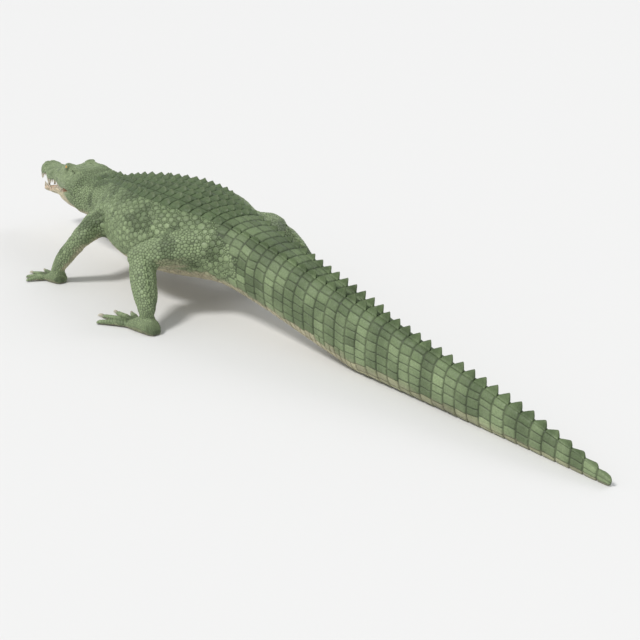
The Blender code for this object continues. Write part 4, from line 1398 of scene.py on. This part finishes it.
def plates(name, material, spans, rows, columns, lift, corner=0.35, fill=0.975, tint=0.0, dark=0.0):
    """Plates over spans (s0, s1, q0, q1, side) of the torso. lift gives their height over the skin, and tint
    the share of painted highlight where they stand highest.
    """
    u, v, quads = sheet(rows, columns)
    round_u, round_v = u * np.sqrt(1 - corner * v * v / 2), v * np.sqrt(1 - corner * u * u / 2)
    s0, s1, q0, q1, side = (column[:, None] for column in np.array(spans, float).T)
    s = (s0 + s1) / 2 + (s1 - s0) / 2 * fill * round_u
    q = np.abs((q0 + q1) / 2 + (q1 - q0) / 2 * fill * round_v)
    base = TORSO.points(*drifted(s, q), side)
    centre = TORSO.points((s0[:, 0] + s1[:, 0]) / 2, (q0[:, 0] + q1[:, 0]) / 2, side[:, 0])
    clear = skin_level(centre) > -0.008
    height = lift(u, v, np.nonzero(clear)[0])
    return raised(name, material, base[clear], side[clear, 0] < 0, (u, v, quads), height, tint, dark)


def raised(name, material, base, flips, grid, height, tint=0.0, dark=0.0):
    """Sheets laid on the skin, one to each row of base, raised over it by height. Their edges are painted in
    shade, and tint gives painted highlight where they stand highest.
    """
    u, v, quads = grid
    normals = slope(base, 0.004)
    skin = onto(base, normals)
    rough = value_noise(skin, 0.0055, 6) + 0.6 * value_noise(skin, 0.013, 8) - 0.8
    height = height + np.where(height > 0.0015, 0.0013 * rough, 0)
    made = skin + normals * height[..., None]
    made[..., 2] = np.maximum(made[..., 2], COAT_LOW)
    tone = 1 + 0.09 * RNG.standard_normal((len(made), 1))
    # Painted shade: each plate darkens towards its edges
    rim = 0.45 + 0.55 * rimmed(u, v, 0.11)
    own = markings(skin.mean(1), unit(normals.mean(1)))[:, None]
    hide = 0.65 * own + 0.35 * markings(skin, normals)
    hide = mixed(hide, SCUTE, np.full(hide.shape[:2], dark)) * (tone * rim)[..., None]
    # Painted highlight, in a share set by tint, that grows with a plate's height over the coat
    colours = mixed(hide, RIDGE_HIGHLIGHT, tint * np.clip((height - DEPTH_BODY) / 0.02, 0, 1) ** 1.5)
    start = (np.arange(len(made)) * len(u))[:, None, None]
    faces = np.where(flips[:, None, None], quads[None, :, ::-1], quads[None]) + start
    batches(name, material, made, [faces.reshape(-1, 4)], colours, patch(skin[:, len(u) // 2], u, v))


def keeled(rises, apexes, sharp=0.58, width=0.09):
    """Height of plates with a keel along the middle. apexes gives each keel's highest place, from -1 to 1."""

    def lift(u, v, chosen):
        rise, top = rises[chosen, None], apexes[chosen, None]
        front = np.clip((u + 0.96) / (top + 0.96), 0, 1) ** 0.85
        back = np.clip((0.97 - u) / (0.97 - top), 0, 1) ** 0.75
        ridge = np.clip(1 - np.abs(v) / sharp, 0, 1) ** 1.35
        rim = rimmed(u, v, width)
        plate = DEPTH_BODY * (1.45 * rim - 0.45)
        return plate + 0.0012 * (1 - v * v) * rim + rise * np.minimum(front, back) * ridge

    return lift


def domed(keel, width=0.15, depth=DEPTH_BODY):
    """Height of flat plates with a low keel of the given height on each."""

    def lift(u, v, chosen):
        rim = rimmed(u, v, width)
        ridge = np.clip(1 - np.abs(v) / 0.5, 0, 1) * np.clip(1.05 - np.abs(u - 0.2), 0, 1)
        tilt = 0.22 * u + 0.26 * np.sin(7.0 * chosen[:, None]) * v
        return depth * (1.30 * rim - 0.42 + tilt * rim) + keel[chosen, None] * ridge * rim

    return lift


def both_sides(spans):
    return [(*span, side) for span in spans for side in (1, -1)]


def row_edges(row):
    """q of the edges between the plates of a cross row, from the middle outwards."""
    middles = [q for q, _ in row]
    return [0.0] + [(a + b) / 2 for a, b in zip(middles, middles[1:])] + [outer_edge(row)]


def make_back_plates(material):
    """The keeled plates of back and neck."""
    for name, rows, length in (("scutes_back", SHIELD, PITCH), ("scutes_neck", NUCHALS, NUCHAL_LENGTH)):
        spans, rises, apexes = [], [], []
        for k, (apex, row) in enumerate(rows):
            start = TRUNK[0] + k * length if name == "scutes_back" else apex - 0.62 * length
            edges = row_edges(row)
            for (_, rise), q0, q1 in zip(row, edges, edges[1:]):
                spans += both_sides([(start, start + length, q0, q1)])
                rises += [rise * (1 - 0.10 * RNG.random()) - KEEL_SPARE for _ in range(2)]
                apexes += [2 * (apex - start) / length - 1 + RNG.normal(0, 0.04) for _ in range(2)]
        # tint=0.32 is the share of painted highlight on the keels' tops
        plates(name, material, spans, 23, 21, keeled(np.array(rises), np.array(apexes)), tint=0.32, dark=0.82)


def make_belly_plates(material):
    """Smooth plates in cross rows under neck and trunk, two rows to each row of back plates."""
    spans = []
    for k in range(int((TRUNK[1] - BELLY_START) / (PITCH / 2))):
        start = TRUNK[1] - (k + 1) * PITCH / 2
        count = max(2, round((1 - BELLY_EDGE) * float(TORSO.around(start)) / 0.031))
        q = np.linspace(BELLY_EDGE, 1.0, count + 1)
        spans += both_sides([(start, start + PITCH / 2, a, b) for a, b in zip(q, q[1:])])
    plates("scales_belly", material, spans, 7, 7, domed(np.zeros(len(spans))), 0.22, 0.985)


def make_tail_plates(material):
    """Plates round the tail in rings."""
    keels = np.repeat(TAIL_KEELS, 2)
    # 0.3 is the share of painted highlight on the plates' highest parts
    plates("scales_tail", material, both_sides(TAIL_SPANS), 9, 9, domed(keels), 0.20, 0.985, 0.3, 0.10)


def make_toe_plates(material):
    """Cross plates along the top of each toe."""
    u, v, quads = sheet(7, 11)
    base, flips = [], []
    for ball, way, length, part, clawed in TOES:
        width, pitch, first = TOE[part]
        count = int(length * (1 - first) / pitch)
        across = np.array((-way[1], way[0], 0.0))
        for k in range(0 if clawed else -1, count):
            along = length - 0.004 - (k + 0.5 - 0.5 * 0.97 * u * np.sqrt(1 - 0.18 * v * v)) * pitch
            turn = TOE_WRAP * v * np.sqrt(1 - 0.25 * u * u)
            rise = np.full(len(u), math.pi / 2)
            if k < 0:
                along, rise = np.full(len(u), length - 0.004), CAP_TURN[0] - CAP_TURN[1] * u
            upright = np.sin(rise)[:, None] * (0, 0, 1.0) + np.cos(rise)[:, None] * way
            ray = np.sin(turn)[:, None] * across + np.cos(turn)[:, None] * upright
            start = ball + along[:, None] * way + 0.6 * width * ray
            for _ in range(3):
                start = start - ray * np.clip(skin_level(start), -0.008, 0.008)[:, None]
            for side in (1, -1):
                base.append(start * (side, 1, 1))
                flips.append(side > 0)
    height = domed(np.full(len(base), 0.0004), 0.22, DEPTH_FOOT)(u, v, np.arange(len(base)))
    raised("scales_toes", material, np.array(base), np.array(flips), (u, v, quads), height)


def make_fringes(material):
    """Rows of upright scales along the hind edges of the legs."""
    parts, flat, colours = [], [], []
    t = np.linspace(0, 1, 6)
    shape = np.sqrt(np.maximum(1 - t, 0)) + 0.02
    shade = np.concatenate([np.repeat(np.interp(t, (0, 0.4, 1), (0.55, 1.0, 1.1)), FRINGE_WAYS), (0.5, 1.1)])
    for part, (count, half, rise) in FRINGES.items():
        middle, axis, reach = LIMBS[LEG_PARTS.index(part)]
        rear = unit(HIND_EDGE - (HIND_EDGE @ axis) * axis)
        for place in np.linspace(-0.72, 0.80, count):
            root = (middle + axis * reach * place + rear * 0.05)[None]
            root = onto(root, rear[None], 4, 0.03)[0] - rear * FRINGE_ROOT
            size = 1 - 0.35 * abs(place)
            tip = root + (rear * (rise + FRINGE_ROOT) + axis * 0.45 * rise) * size
            centres = root + t[:, None] * (tip - root)
            for side in (1, -1):
                flip = np.array((side, 1, 1))
                wide, thin = axis * flip, np.cross(rear, axis) * flip
                widths, depths = half * size * shape, FRINGE_DEPTH * shape
                made, faces = horn_loft(centres * flip, wide, thin, widths, depths, FRINGE_WAYS)
                parts.append((made, faces if side > 0 else faces[:, ::-1]))
                normal = np.repeat((rear * flip)[None], len(made), 0)
                colours.append(markings(made, normal) * shade[:, None])
                foot = root * flip
                flat.append(unwrapped(foot[None]) + PATCH * np.tanh((made - foot)[:, :2] / 0.02))
    colours, flat = np.concatenate(colours), np.concatenate(flat)
    fringe = new_object("scales_fringe", *joined(parts), material, colours, flat)


def make_crest(material):
    """The upright teeth along the tail: two rows at first, then one."""
    u, v, quads = sheet(15, 17)
    t = np.abs(v)
    up = t < CREST_SIDE
    share = np.where(up, 1 - (t / CREST_SIDE) ** 1.15, 0)
    rim = rimmed(u, v, 0.10)
    place = (u + 1) / 2
    made, flat, colours = [], [], []
    for start, end, apex, q, rise in WHORLS:
        for side in (1, -1) if q > 0.02 else (0,):
            length = end - start
            thick = 0.0048 + 0.034 * rise
            foot = thick + (0.012 - thick) * (t - CREST_SIDE) / (1 - CREST_SIDE)
            out = np.where(up, thick * t / CREST_SIDE, foot) * np.sign(v)
            s = start + length * (0.02 + 0.96 * (u + 1) / 2)
            top = (apex - start) / length
            profile = np.minimum((place / top) ** 0.9, ((1.0 - place) / (1.0 - top)) ** 0.55)
            height = share * (0.10 + 0.90 * np.clip(profile, 0, 1)) * (rise + DEPTH_BODY * 0.9)
            around = np.maximum(TORSO.around(s), THIN_TAIL)
            across = q + out / around if side else out / around
            base = TORSO.points(s, np.abs(across), side if side else np.where(across < 0, -1.0, 1.0))
            lines = slope(base, 0.006)
            skin = onto(base, lines)
            standing = unit(lines + np.array((0, 0.28, 0.6)))
            lift = height + DEPTH_BODY * (1.2 * rim - 0.4) * (1 - share)
            rough = value_noise(skin + standing * height[:, None], 0.006, 6) - 0.5
            points = skin + standing * lift[:, None] + lines * (0.0012 * rough * share)[:, None]
            points[:, 2] = np.maximum(points[:, 2], COAT_LOW)
            made.append(points)
            flat.append(patch(skin[len(u) // 2][None], u, v)[0])
            # Random tone, with painted shade towards each tooth's edges
            tone = (1 + 0.06 * RNG.standard_normal()) * (0.72 + 0.28 * rim)
            # Painted highlight towards the tips of the crest teeth
            tip_highlight = 0.35 * np.clip(share * profile, 0, 1) ** 3
            hide = mixed(markings(skin, lines), SCUTE, 0.7 * share)
            colours.append(mixed(hide * tone[:, None], RIDGE_HIGHLIGHT, tip_highlight))
    made, flat, colours = np.array(made), np.array(flat), np.array(colours)
    start = (np.arange(len(made)) * len(u))[:, None, None]
    batches("crest_tail", material, made, [(quads[None] + start).reshape(-1, 4)], colours, flat)


# ---------------------------------------------------------------- eyes and lids
IRIS_INNER, IRIS_OUTER, EYE_WHITE = (0.600, 0.380, 0.080), (0.420, 0.235, 0.042), (0.060, 0.030, 0.012)
PUPIL_BLACK = (0.004, 0.004, 0.004)
PUPIL = (0.075, 0.50)  # half-width and half-height of the slit, as angles
LID_OPENING = (0.84, 0.50)  # the same of the gap between the lids
LID_END = 1.75  # the angle off the eye's axis where the lids end, under the skin
LID_SCALES_END = 1.36
WAYS = 96


def eye_axes(side):
    flip = np.array((side, 1, 1))
    return EYE_CENTRE * flip, EYE_OUT * flip, EYE_BACK * flip, EYE_UP * flip


def eye_points(side, around, turns, radii):
    """Places round one eye, from directions round its axis, angles off the axis and radii."""
    centre, out, back, up = eye_axes(side)
    flat = np.cos(around)[..., None] * back + np.sin(around)[..., None] * up
    return centre + radii[..., None] * (np.cos(turns)[..., None] * out + np.sin(turns)[..., None] * flat)


def oval(around, half_width, half_height, power):
    """Radius of an oval in the given directions. A power under 2 gives it corners at its sides."""
    wide, high = np.abs(np.cos(around) / half_width), np.abs(np.sin(around) / half_height)
    return (wide**power + high**power) ** (-1 / power)


def ring_faces(rings, flip):
    i, j = np.meshgrid(np.arange(rings - 1), np.arange(WAYS), indexing="ij")
    a, b = i * WAYS + j, i * WAYS + (j + 1) % WAYS
    quads = np.stack([a, a + WAYS, b + WAYS, b], -1).reshape(-1, 4)
    return quads[:, ::-1] if flip else quads


def make_eyes(material):
    """An amber eyeball with a slit pupil on each side."""
    slit = oval(directions(WAYS), *PUPIL, 1.25)
    for word, side in SIDES:
        rows = [slit * share for share in (0.02, 0.5, 0.97)]
        colours = [np.tile(PUPIL_BLACK, (WAYS, 1)) for _ in rows]
        streaks = 0.78 + 0.44 * RNG.random(WAYS)
        for share in (0.0, 0.10, 0.35, 0.7, 0.97):
            rows.append(slit + (0.92 - slit) * share)
            tone = mixed(IRIS_INNER, IRIS_OUTER, np.full(WAYS, share)) * streaks[:, None]
            colours.append(tone * (0.7 if share == 0 else 1.0))
        for turn in (0.96, 1.05, 1.3, 1.6, 2.2, 2.9):
            rows.append(np.full(WAYS, turn))
            colours.append(np.tile(EYE_WHITE, (WAYS, 1)))
        turns = np.array(rows)
        radii = EYE_RADIUS * (0.985 + 0.022 * bump(turns, 0.0, 0.6))
        points = eye_points(side, directions(WAYS), turns, radii).reshape(-1, 3)
        faces = ring_faces(len(rows), side < 0)
        eye = new_object("eyeball_" + word, points, faces, material, np.concatenate(colours))
        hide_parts("eye_" + word)


def lid_edge(around):
    return oval(around, *LID_OPENING, 1.6) * (1 - 0.14 * np.clip(np.sin(around), 0, 1))


def lid_height(around, beyond):
    """Height of the lids over the eyeball, at an angle beyond their edge. The upper lid is the thicker."""
    upper = np.clip(np.sin(around), 0, 1)
    share = np.clip((beyond - 0.2) / (LID_END - 0.2 - lid_edge(around)), 0, 1)
    margin = np.interp(beyond, (0.0, 0.03, 0.07, 0.11, 0.20), (0.0010, 0.0022, 0.0028, 0.0022, 0.0027))
    thick = 0.0026 * upper * smooth(beyond, 0.0, 0.10) * (1 - share) ** 1.5
    wrinkle = np.sin(30 * beyond + 0.8 * np.sin(3 * around)) * smooth(beyond, 0.1, 0.2) * (1 - share)
    return margin + thick + 0.00045 * wrinkle - 0.0042 * share**3


def make_lids(material):
    """Upper and lower lid of each eye: a smooth margin, and folds that dip under the skin all round."""
    around = directions(WAYS)
    edge = lid_edge(around)
    for word, side in SIDES:
        rows = [(edge, np.full(WAYS, EYE_RADIUS + 0.0001))]
        for beyond in (0.0, 0.03, 0.07, 0.11, 0.15, 0.20):
            rows.append((edge + beyond, EYE_RADIUS + lid_height(around, np.full(WAYS, beyond))))
        for share in np.linspace(0.06, 1.0, 16):
            beyond = 0.20 + share * (LID_END - 0.20 - edge)
            rows.append((edge + beyond, EYE_RADIUS + lid_height(around, beyond)))
        turns, radii = (np.array(column) for column in zip(*rows))
        points = eye_points(side, directions(WAYS), turns, radii).reshape(-1, 3)
        hide = markings(points, unit(points - eye_axes(side)[0]))
        # Painted shade: darkest where the lid meets the eyeball, and darker where the lid shows between its
        # grains
        tone = np.interp(np.arange(len(rows)), (0, 1, 3, 5, 7), (0.25, 0.40, 0.80, 0.55, 0.60))
        faces = ring_faces(len(rows), side < 0)
        lids = new_object("eyelids_" + word, points, faces, material, hide * np.repeat(tone, WAYS)[:, None])


def make_lid_scales(material):
    """Grains in rows that follow the lids' edges, larger on the upper lid."""
    ways, made, colours = 8, [], []
    share, turn, lift, shade = dome(LOW_DOME, ways)
    for side in (1, -1):
        for row in range(7):
            count = 22 + 2 * row
            around = math.tau * (np.arange(count) + 0.5 * (row % 2)) / count + RNG.normal(0, 0.035, count)
            beyond = 0.165 + 0.135 * row + RNG.normal(0, 0.010, count)
            chosen = lid_edge(around) + beyond < LID_SCALES_END
            around, beyond = around[chosen, None], beyond[chosen, None]
            size = 1 + 0.12 * RNG.standard_normal(around.shape)
            half = math.pi / count * 0.98 * size
            a = around + side * half * share * np.sin(turn)
            b = beyond + 0.072 * size * share * np.cos(turn)
            points = eye_points(side, a, lid_edge(a) + b, EYE_RADIUS + lid_height(a, b) + 0.00095 * lift)
            tone = (1 + 0.10 * RNG.standard_normal((len(points), 1))) * shade
            made.append(points)
            colours.append(markings(points, unit(points - eye_axes(side)[0])) * tone[..., None])
    made, colours = np.concatenate(made), np.concatenate(colours)
    flat = patch(made[:, 0], share * np.cos(turn), share * np.sin(turn))
    batches("scales_lids", material, made, dome_faces(len(made), ways, len(LOW_DOME)), colours, flat)


# ---------------------------------------------------------------- teeth, claws and tongue
TOOTH_ROOT, CLAW_ROOT = 0.007, 0.010  # length hidden in the flesh
HORN_WAYS = 14  # sides of a tooth or claw
TONGUE_SPACING = 0.0025


def horn_loft(centres, across, up, widths, heights, ways=HORN_WAYS):
    """A closed loft of ovals along a curve."""
    turn = directions(ways)
    ovals = widths[:, None, None] * np.cos(turn)[None, :, None] * across
    ovals = ovals + heights[:, None, None] * np.sin(turn)[None, :, None] * up
    return closed_loft(centres[:, None] + ovals)


def bent(root, tip, t, bend, way):
    """Places from root to tip, bent out by a share of the length."""
    length = np.linalg.norm(tip - root)
    return root + t[:, None] * (tip - root) + (bend * length * np.sin(math.pi * t))[:, None] * way


def horn_shade(t, places, tones):
    """Brightness of the points of a loft from its values at places along it."""
    shade = np.interp(t, places, tones)
    return np.concatenate([np.repeat(shade, HORN_WAYS), shade[[0, -1]]])


def make_teeth(material):
    """Conical teeth, bent a little backwards, each rooted in its gum."""
    parts, colours = [], []
    t = np.linspace(0, 1, 9)
    shade = horn_shade(t, (0.0, 0.35, 0.6, 1.0), (0.55, 0.80, 1.0, 1.05))
    for base, tip, radius in TEETH:
        axis = unit(tip - base)
        root = base - axis * TOOTH_ROOT
        side = unit(np.cross(axis, (0, 1.0, 0.2)))
        front = unit(np.cross(side, axis))
        front = front * (-1 if front[1] > 0 else 1)
        width = 1.18 * radius * (1 - t**1.8) ** 0.75 + 0.0003
        parts.append(horn_loft(bent(root, tip, t, 0.07, front), side, front, width, width))
        colours.append(np.array(IVORY) * (shade * (1 + 0.05 * RNG.standard_normal()))[:, None])
    teeth = new_object("teeth", *joined(parts), material, np.concatenate(colours))
    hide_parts("head", "lower_jaw")


def make_claws(material):
    """Curved claws, one in place of each claw of the solids, rooted in the toe."""
    t = np.linspace(0, 1, 12)
    shape = (1 - t**1.7) ** 0.8
    shade = horn_shade(t, (0.0, 0.25, 0.7, 1.0), (0.55, 0.80, 1.05, 1.15))
    for name in sorted(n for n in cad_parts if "claw" in n):
        points, _ = node_arrays(name)
        foot = "forefoot" if name.startswith("fore") else "hindfoot"
        low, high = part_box(foot + ("_left" if "left" in name else "_right"))
        heel = np.array(((low.x + high.x) / 2, high.y, 0))
        tip = points[np.argmax(distance(points, heel))]
        along = (points - tip) @ unit(heel - tip)
        ring = points[along > 0.82 * along.max()]
        middle = (ring.max(0) + ring.min(0)) / 2
        ahead = unit(tip - middle)
        across = unit(np.cross(ahead, (0, 0, 1.0)))
        up = np.cross(across, ahead)
        widths, heights = (0.56 * np.ptp(ring @ way) * shape + 0.0004 for way in (across, up))
        centres = bent(middle - ahead * CLAW_ROOT, tip, t, 0.10, up)
        made, faces = horn_loft(centres, across, up, widths, heights)
        made[:, 2] = np.maximum(made[:, 2], COAT_LOW)
        claw = new_object("horn_" + name, made, faces, material, np.array(CLAW) * shade[:, None])
        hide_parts(name)


def make_tongue(material):
    """The solid's tongue with its edges rounded."""
    low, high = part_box("tongue")
    field = Lattice(np.array(low) - 0.012, np.array(high) + 0.012, TONGUE_SPACING)
    grid = level_set(*node_arrays("tongue"), TONGUE_SPACING, 0.012)
    field.values = blur(blur(field.take(grid))) + 0.0004
    points, quads = field.surface()
    points[:, 2] += 0.0008 * (value_noise(points, 0.012, 3) - 0.5)
    shade = 0.9 + 0.2 * value_noise(points, 0.03, 5)
    tongue = new_object("tongue_flesh", points, quads[:, ::-1], material, np.array(TONGUE) * shade[:, None])
    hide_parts("tongue")


# ---------------------------------------------------------------- materials
def surface(name, rough, bumps, tint=0.12, coat=0.0, subsurface=0.0):
    """A material that takes its colour from the mesh. bumps is a list of (size, depth) in metres."""
    material = bpy.data.materials.new(name)
    material.use_nodes = True
    nodes, links = material.node_tree.nodes, material.node_tree.links
    shader = nodes["Principled BSDF"]
    place = nodes.new("ShaderNodeTexCoord").outputs["Object"]

    def noise(scale, detail):
        node = nodes.new("ShaderNodeTexNoise")
        node.inputs["Scale"].default_value, node.inputs["Detail"].default_value = scale, detail
        links.new(place, node.inputs["Vector"])
        return node.outputs["Fac"]

    def mapped(value, start, end):
        node = nodes.new("ShaderNodeMapRange")
        for word, limits in (("From", start), ("To", end)):
            node.inputs[word + " Min"].default_value, node.inputs[word + " Max"].default_value = limits
        links.new(value, node.inputs["Value"])
        return node.outputs["Result"]

    tone = nodes.new("ShaderNodeMath")
    tone.operation = "MULTIPLY"
    links.new(mapped(noise(140.0, 6.0), (0.3, 0.7), (1 - tint, 1 + tint)), tone.inputs[0])
    links.new(mapped(noise(520.0, 2.0), (0.54, 0.68), (1.0, 1 - 1.6 * tint)), tone.inputs[1])
    own = nodes.new("ShaderNodeAttribute")
    own.attribute_name = "hide"
    colour = nodes.new("ShaderNodeVectorMath")
    colour.operation = "SCALE"
    links.new(own.outputs["Color"], colour.inputs[0])
    links.new(tone.outputs["Value"], colour.inputs["Scale"])
    links.new(colour.outputs["Vector"], shader.inputs["Base Color"])
    links.new(mapped(noise(45.0, 4.0), (0.3, 0.7), rough), shader.inputs["Roughness"])
    normal = None
    for size, depth in bumps:
        dent = nodes.new("ShaderNodeBump")
        dent.inputs["Distance"].default_value = depth
        links.new(noise(1 / size, 3.0), dent.inputs["Height"])
        if normal is not None:
            links.new(normal, dent.inputs["Normal"])
        normal = dent.outputs["Normal"]
    if normal is not None:
        links.new(normal, shader.inputs["Normal"])
    shader.inputs["Coat Weight"].default_value = coat
    shader.inputs["Coat Roughness"].default_value = 0.06
    shader.inputs["Subsurface Weight"].default_value = subsurface
    shader.inputs["Subsurface Scale"].default_value = 0.004
    return material


# ---------------------------------------------------------------- stage
LENS, SENSOR = 67.2, 36.0
CAMERA = (3.240, 4.535, 2.130)
CAMERA_WAY = (-0.585, -0.728, -0.358)
FLOOR, FLOOR_ROUGH, FLOOR_HALF = (0.75, 0.75, 0.745), 0.85, 30.0
SKY, SKY_POWER = (0.95, 0.97, 1.0), 0.60
BACKDROP = (0.895, 0.900, 0.893)  # as bright as the lit floor
LAMPS = (  # name, direction, width in degrees, strength and colour
    ("key", (4.0, -0.5, 5.5), 14.0, 2.15, (1.0, 0.98, 0.95)),
    ("rim", (-4.5, 0.5, 3.5), 30.0, 0.45, (0.97, 0.98, 1.0)),
)


def aim(made, place, way):
    """Puts a lamp or camera in its place, looking along way."""
    made.location = place
    made.rotation_euler = Vector(way).to_track_quat("-Z", "Y").to_euler()


def make_floor():
    """A plain pale floor."""
    mesh = bpy.data.meshes.new("floor")
    corners = [(x * FLOOR_HALF, y * FLOOR_HALF, 0) for x, y in ((-1, -1), (1, -1), (1, 1), (-1, 1))]
    mesh.from_pydata(corners, [], [(0, 1, 2, 3)])
    material = bpy.data.materials.new("floor")
    material.use_nodes = True
    inputs = material.node_tree.nodes["Principled BSDF"].inputs
    inputs["Base Color"].default_value = (*FLOOR, 1)
    inputs["Roughness"].default_value = FLOOR_ROUGH
    mesh.materials.append(material)
    floor = in_scene("floor", mesh)


def make_lamps():
    """Two soft suns."""
    for name, place, softness, power, colour in LAMPS:
        light = bpy.data.lights.new(name, "SUN")
        light.angle, light.energy, light.color = math.radians(softness), power, colour
        aim(in_scene(name, light), place, -Vector(place))


def make_world():
    """A pale sky that lights the scene, and a plain backdrop that the camera sees in its place."""
    world = bpy.data.worlds.new("world")
    world.use_nodes = True
    nodes, links = world.node_tree.nodes, world.node_tree.links
    sky = nodes["Background"]
    sky.inputs["Color"].default_value = (*SKY, 1)
    sky.inputs["Strength"].default_value = SKY_POWER
    seen, mix, rays = (nodes.new("ShaderNode" + kind) for kind in ("Background", "MixShader", "LightPath"))
    seen.inputs["Color"].default_value = (*BACKDROP, 1)
    links.new(rays.outputs["Is Camera Ray"], mix.inputs["Fac"])
    links.new(sky.outputs["Background"], mix.inputs[1])
    links.new(seen.outputs["Background"], mix.inputs[2])
    links.new(mix.outputs["Shader"], nodes["World Output"].inputs["Surface"])
    bpy.context.scene.world = world


def make_camera():
    """The camera of the photo's view."""
    data = bpy.data.cameras.new("camera")
    data.lens, data.sensor_width = LENS, SENSOR
    camera = in_scene("camera", data)
    aim(camera, CAMERA, CAMERA_WAY)
    bpy.context.scene.camera = camera
    bpy.context.scene.view_settings.view_transform = "Standard"


# ---------------------------------------------------------------- everything
def main():
    hide = surface("hide", (0.45, 0.70), ((0.0050, 0.0010), (0.0014, 0.0003)), 0.16)
    scale = surface("scales", (0.38, 0.72), ((0.0140, 0.0022), (0.0045, 0.0012), (0.0013, 0.0004)), 0.17)
    lid = surface("lids", (0.30, 0.50), ((0.0022, 0.0007), (0.0007, 0.0002)))
    ball = surface("eye", (0.04, 0.07), (), 0.10, 1.0)
    horn = surface("horn", (0.22, 0.40), ((0.0030, 0.0003), (0.0008, 0.0001)), 0.10)
    flesh = surface("tongue", (0.35, 0.50), ((0.0030, 0.0008),), 0.08, subsurface=0.15)
    skin, triangles = make_skin(hide)
    make_small_scales(skin, triangles, scale)
    make_back_plates(scale)
    make_belly_plates(scale)
    make_tail_plates(scale)
    make_crest(scale)
    make_toe_plates(scale)
    make_fringes(scale)
    make_eyes(ball)
    make_lids(lid)
    make_lid_scales(scale)
    make_teeth(horn)
    make_claws(horn)
    make_tongue(flesh)
    make_floor()
    make_lamps()
    make_world()
    make_camera()


main()
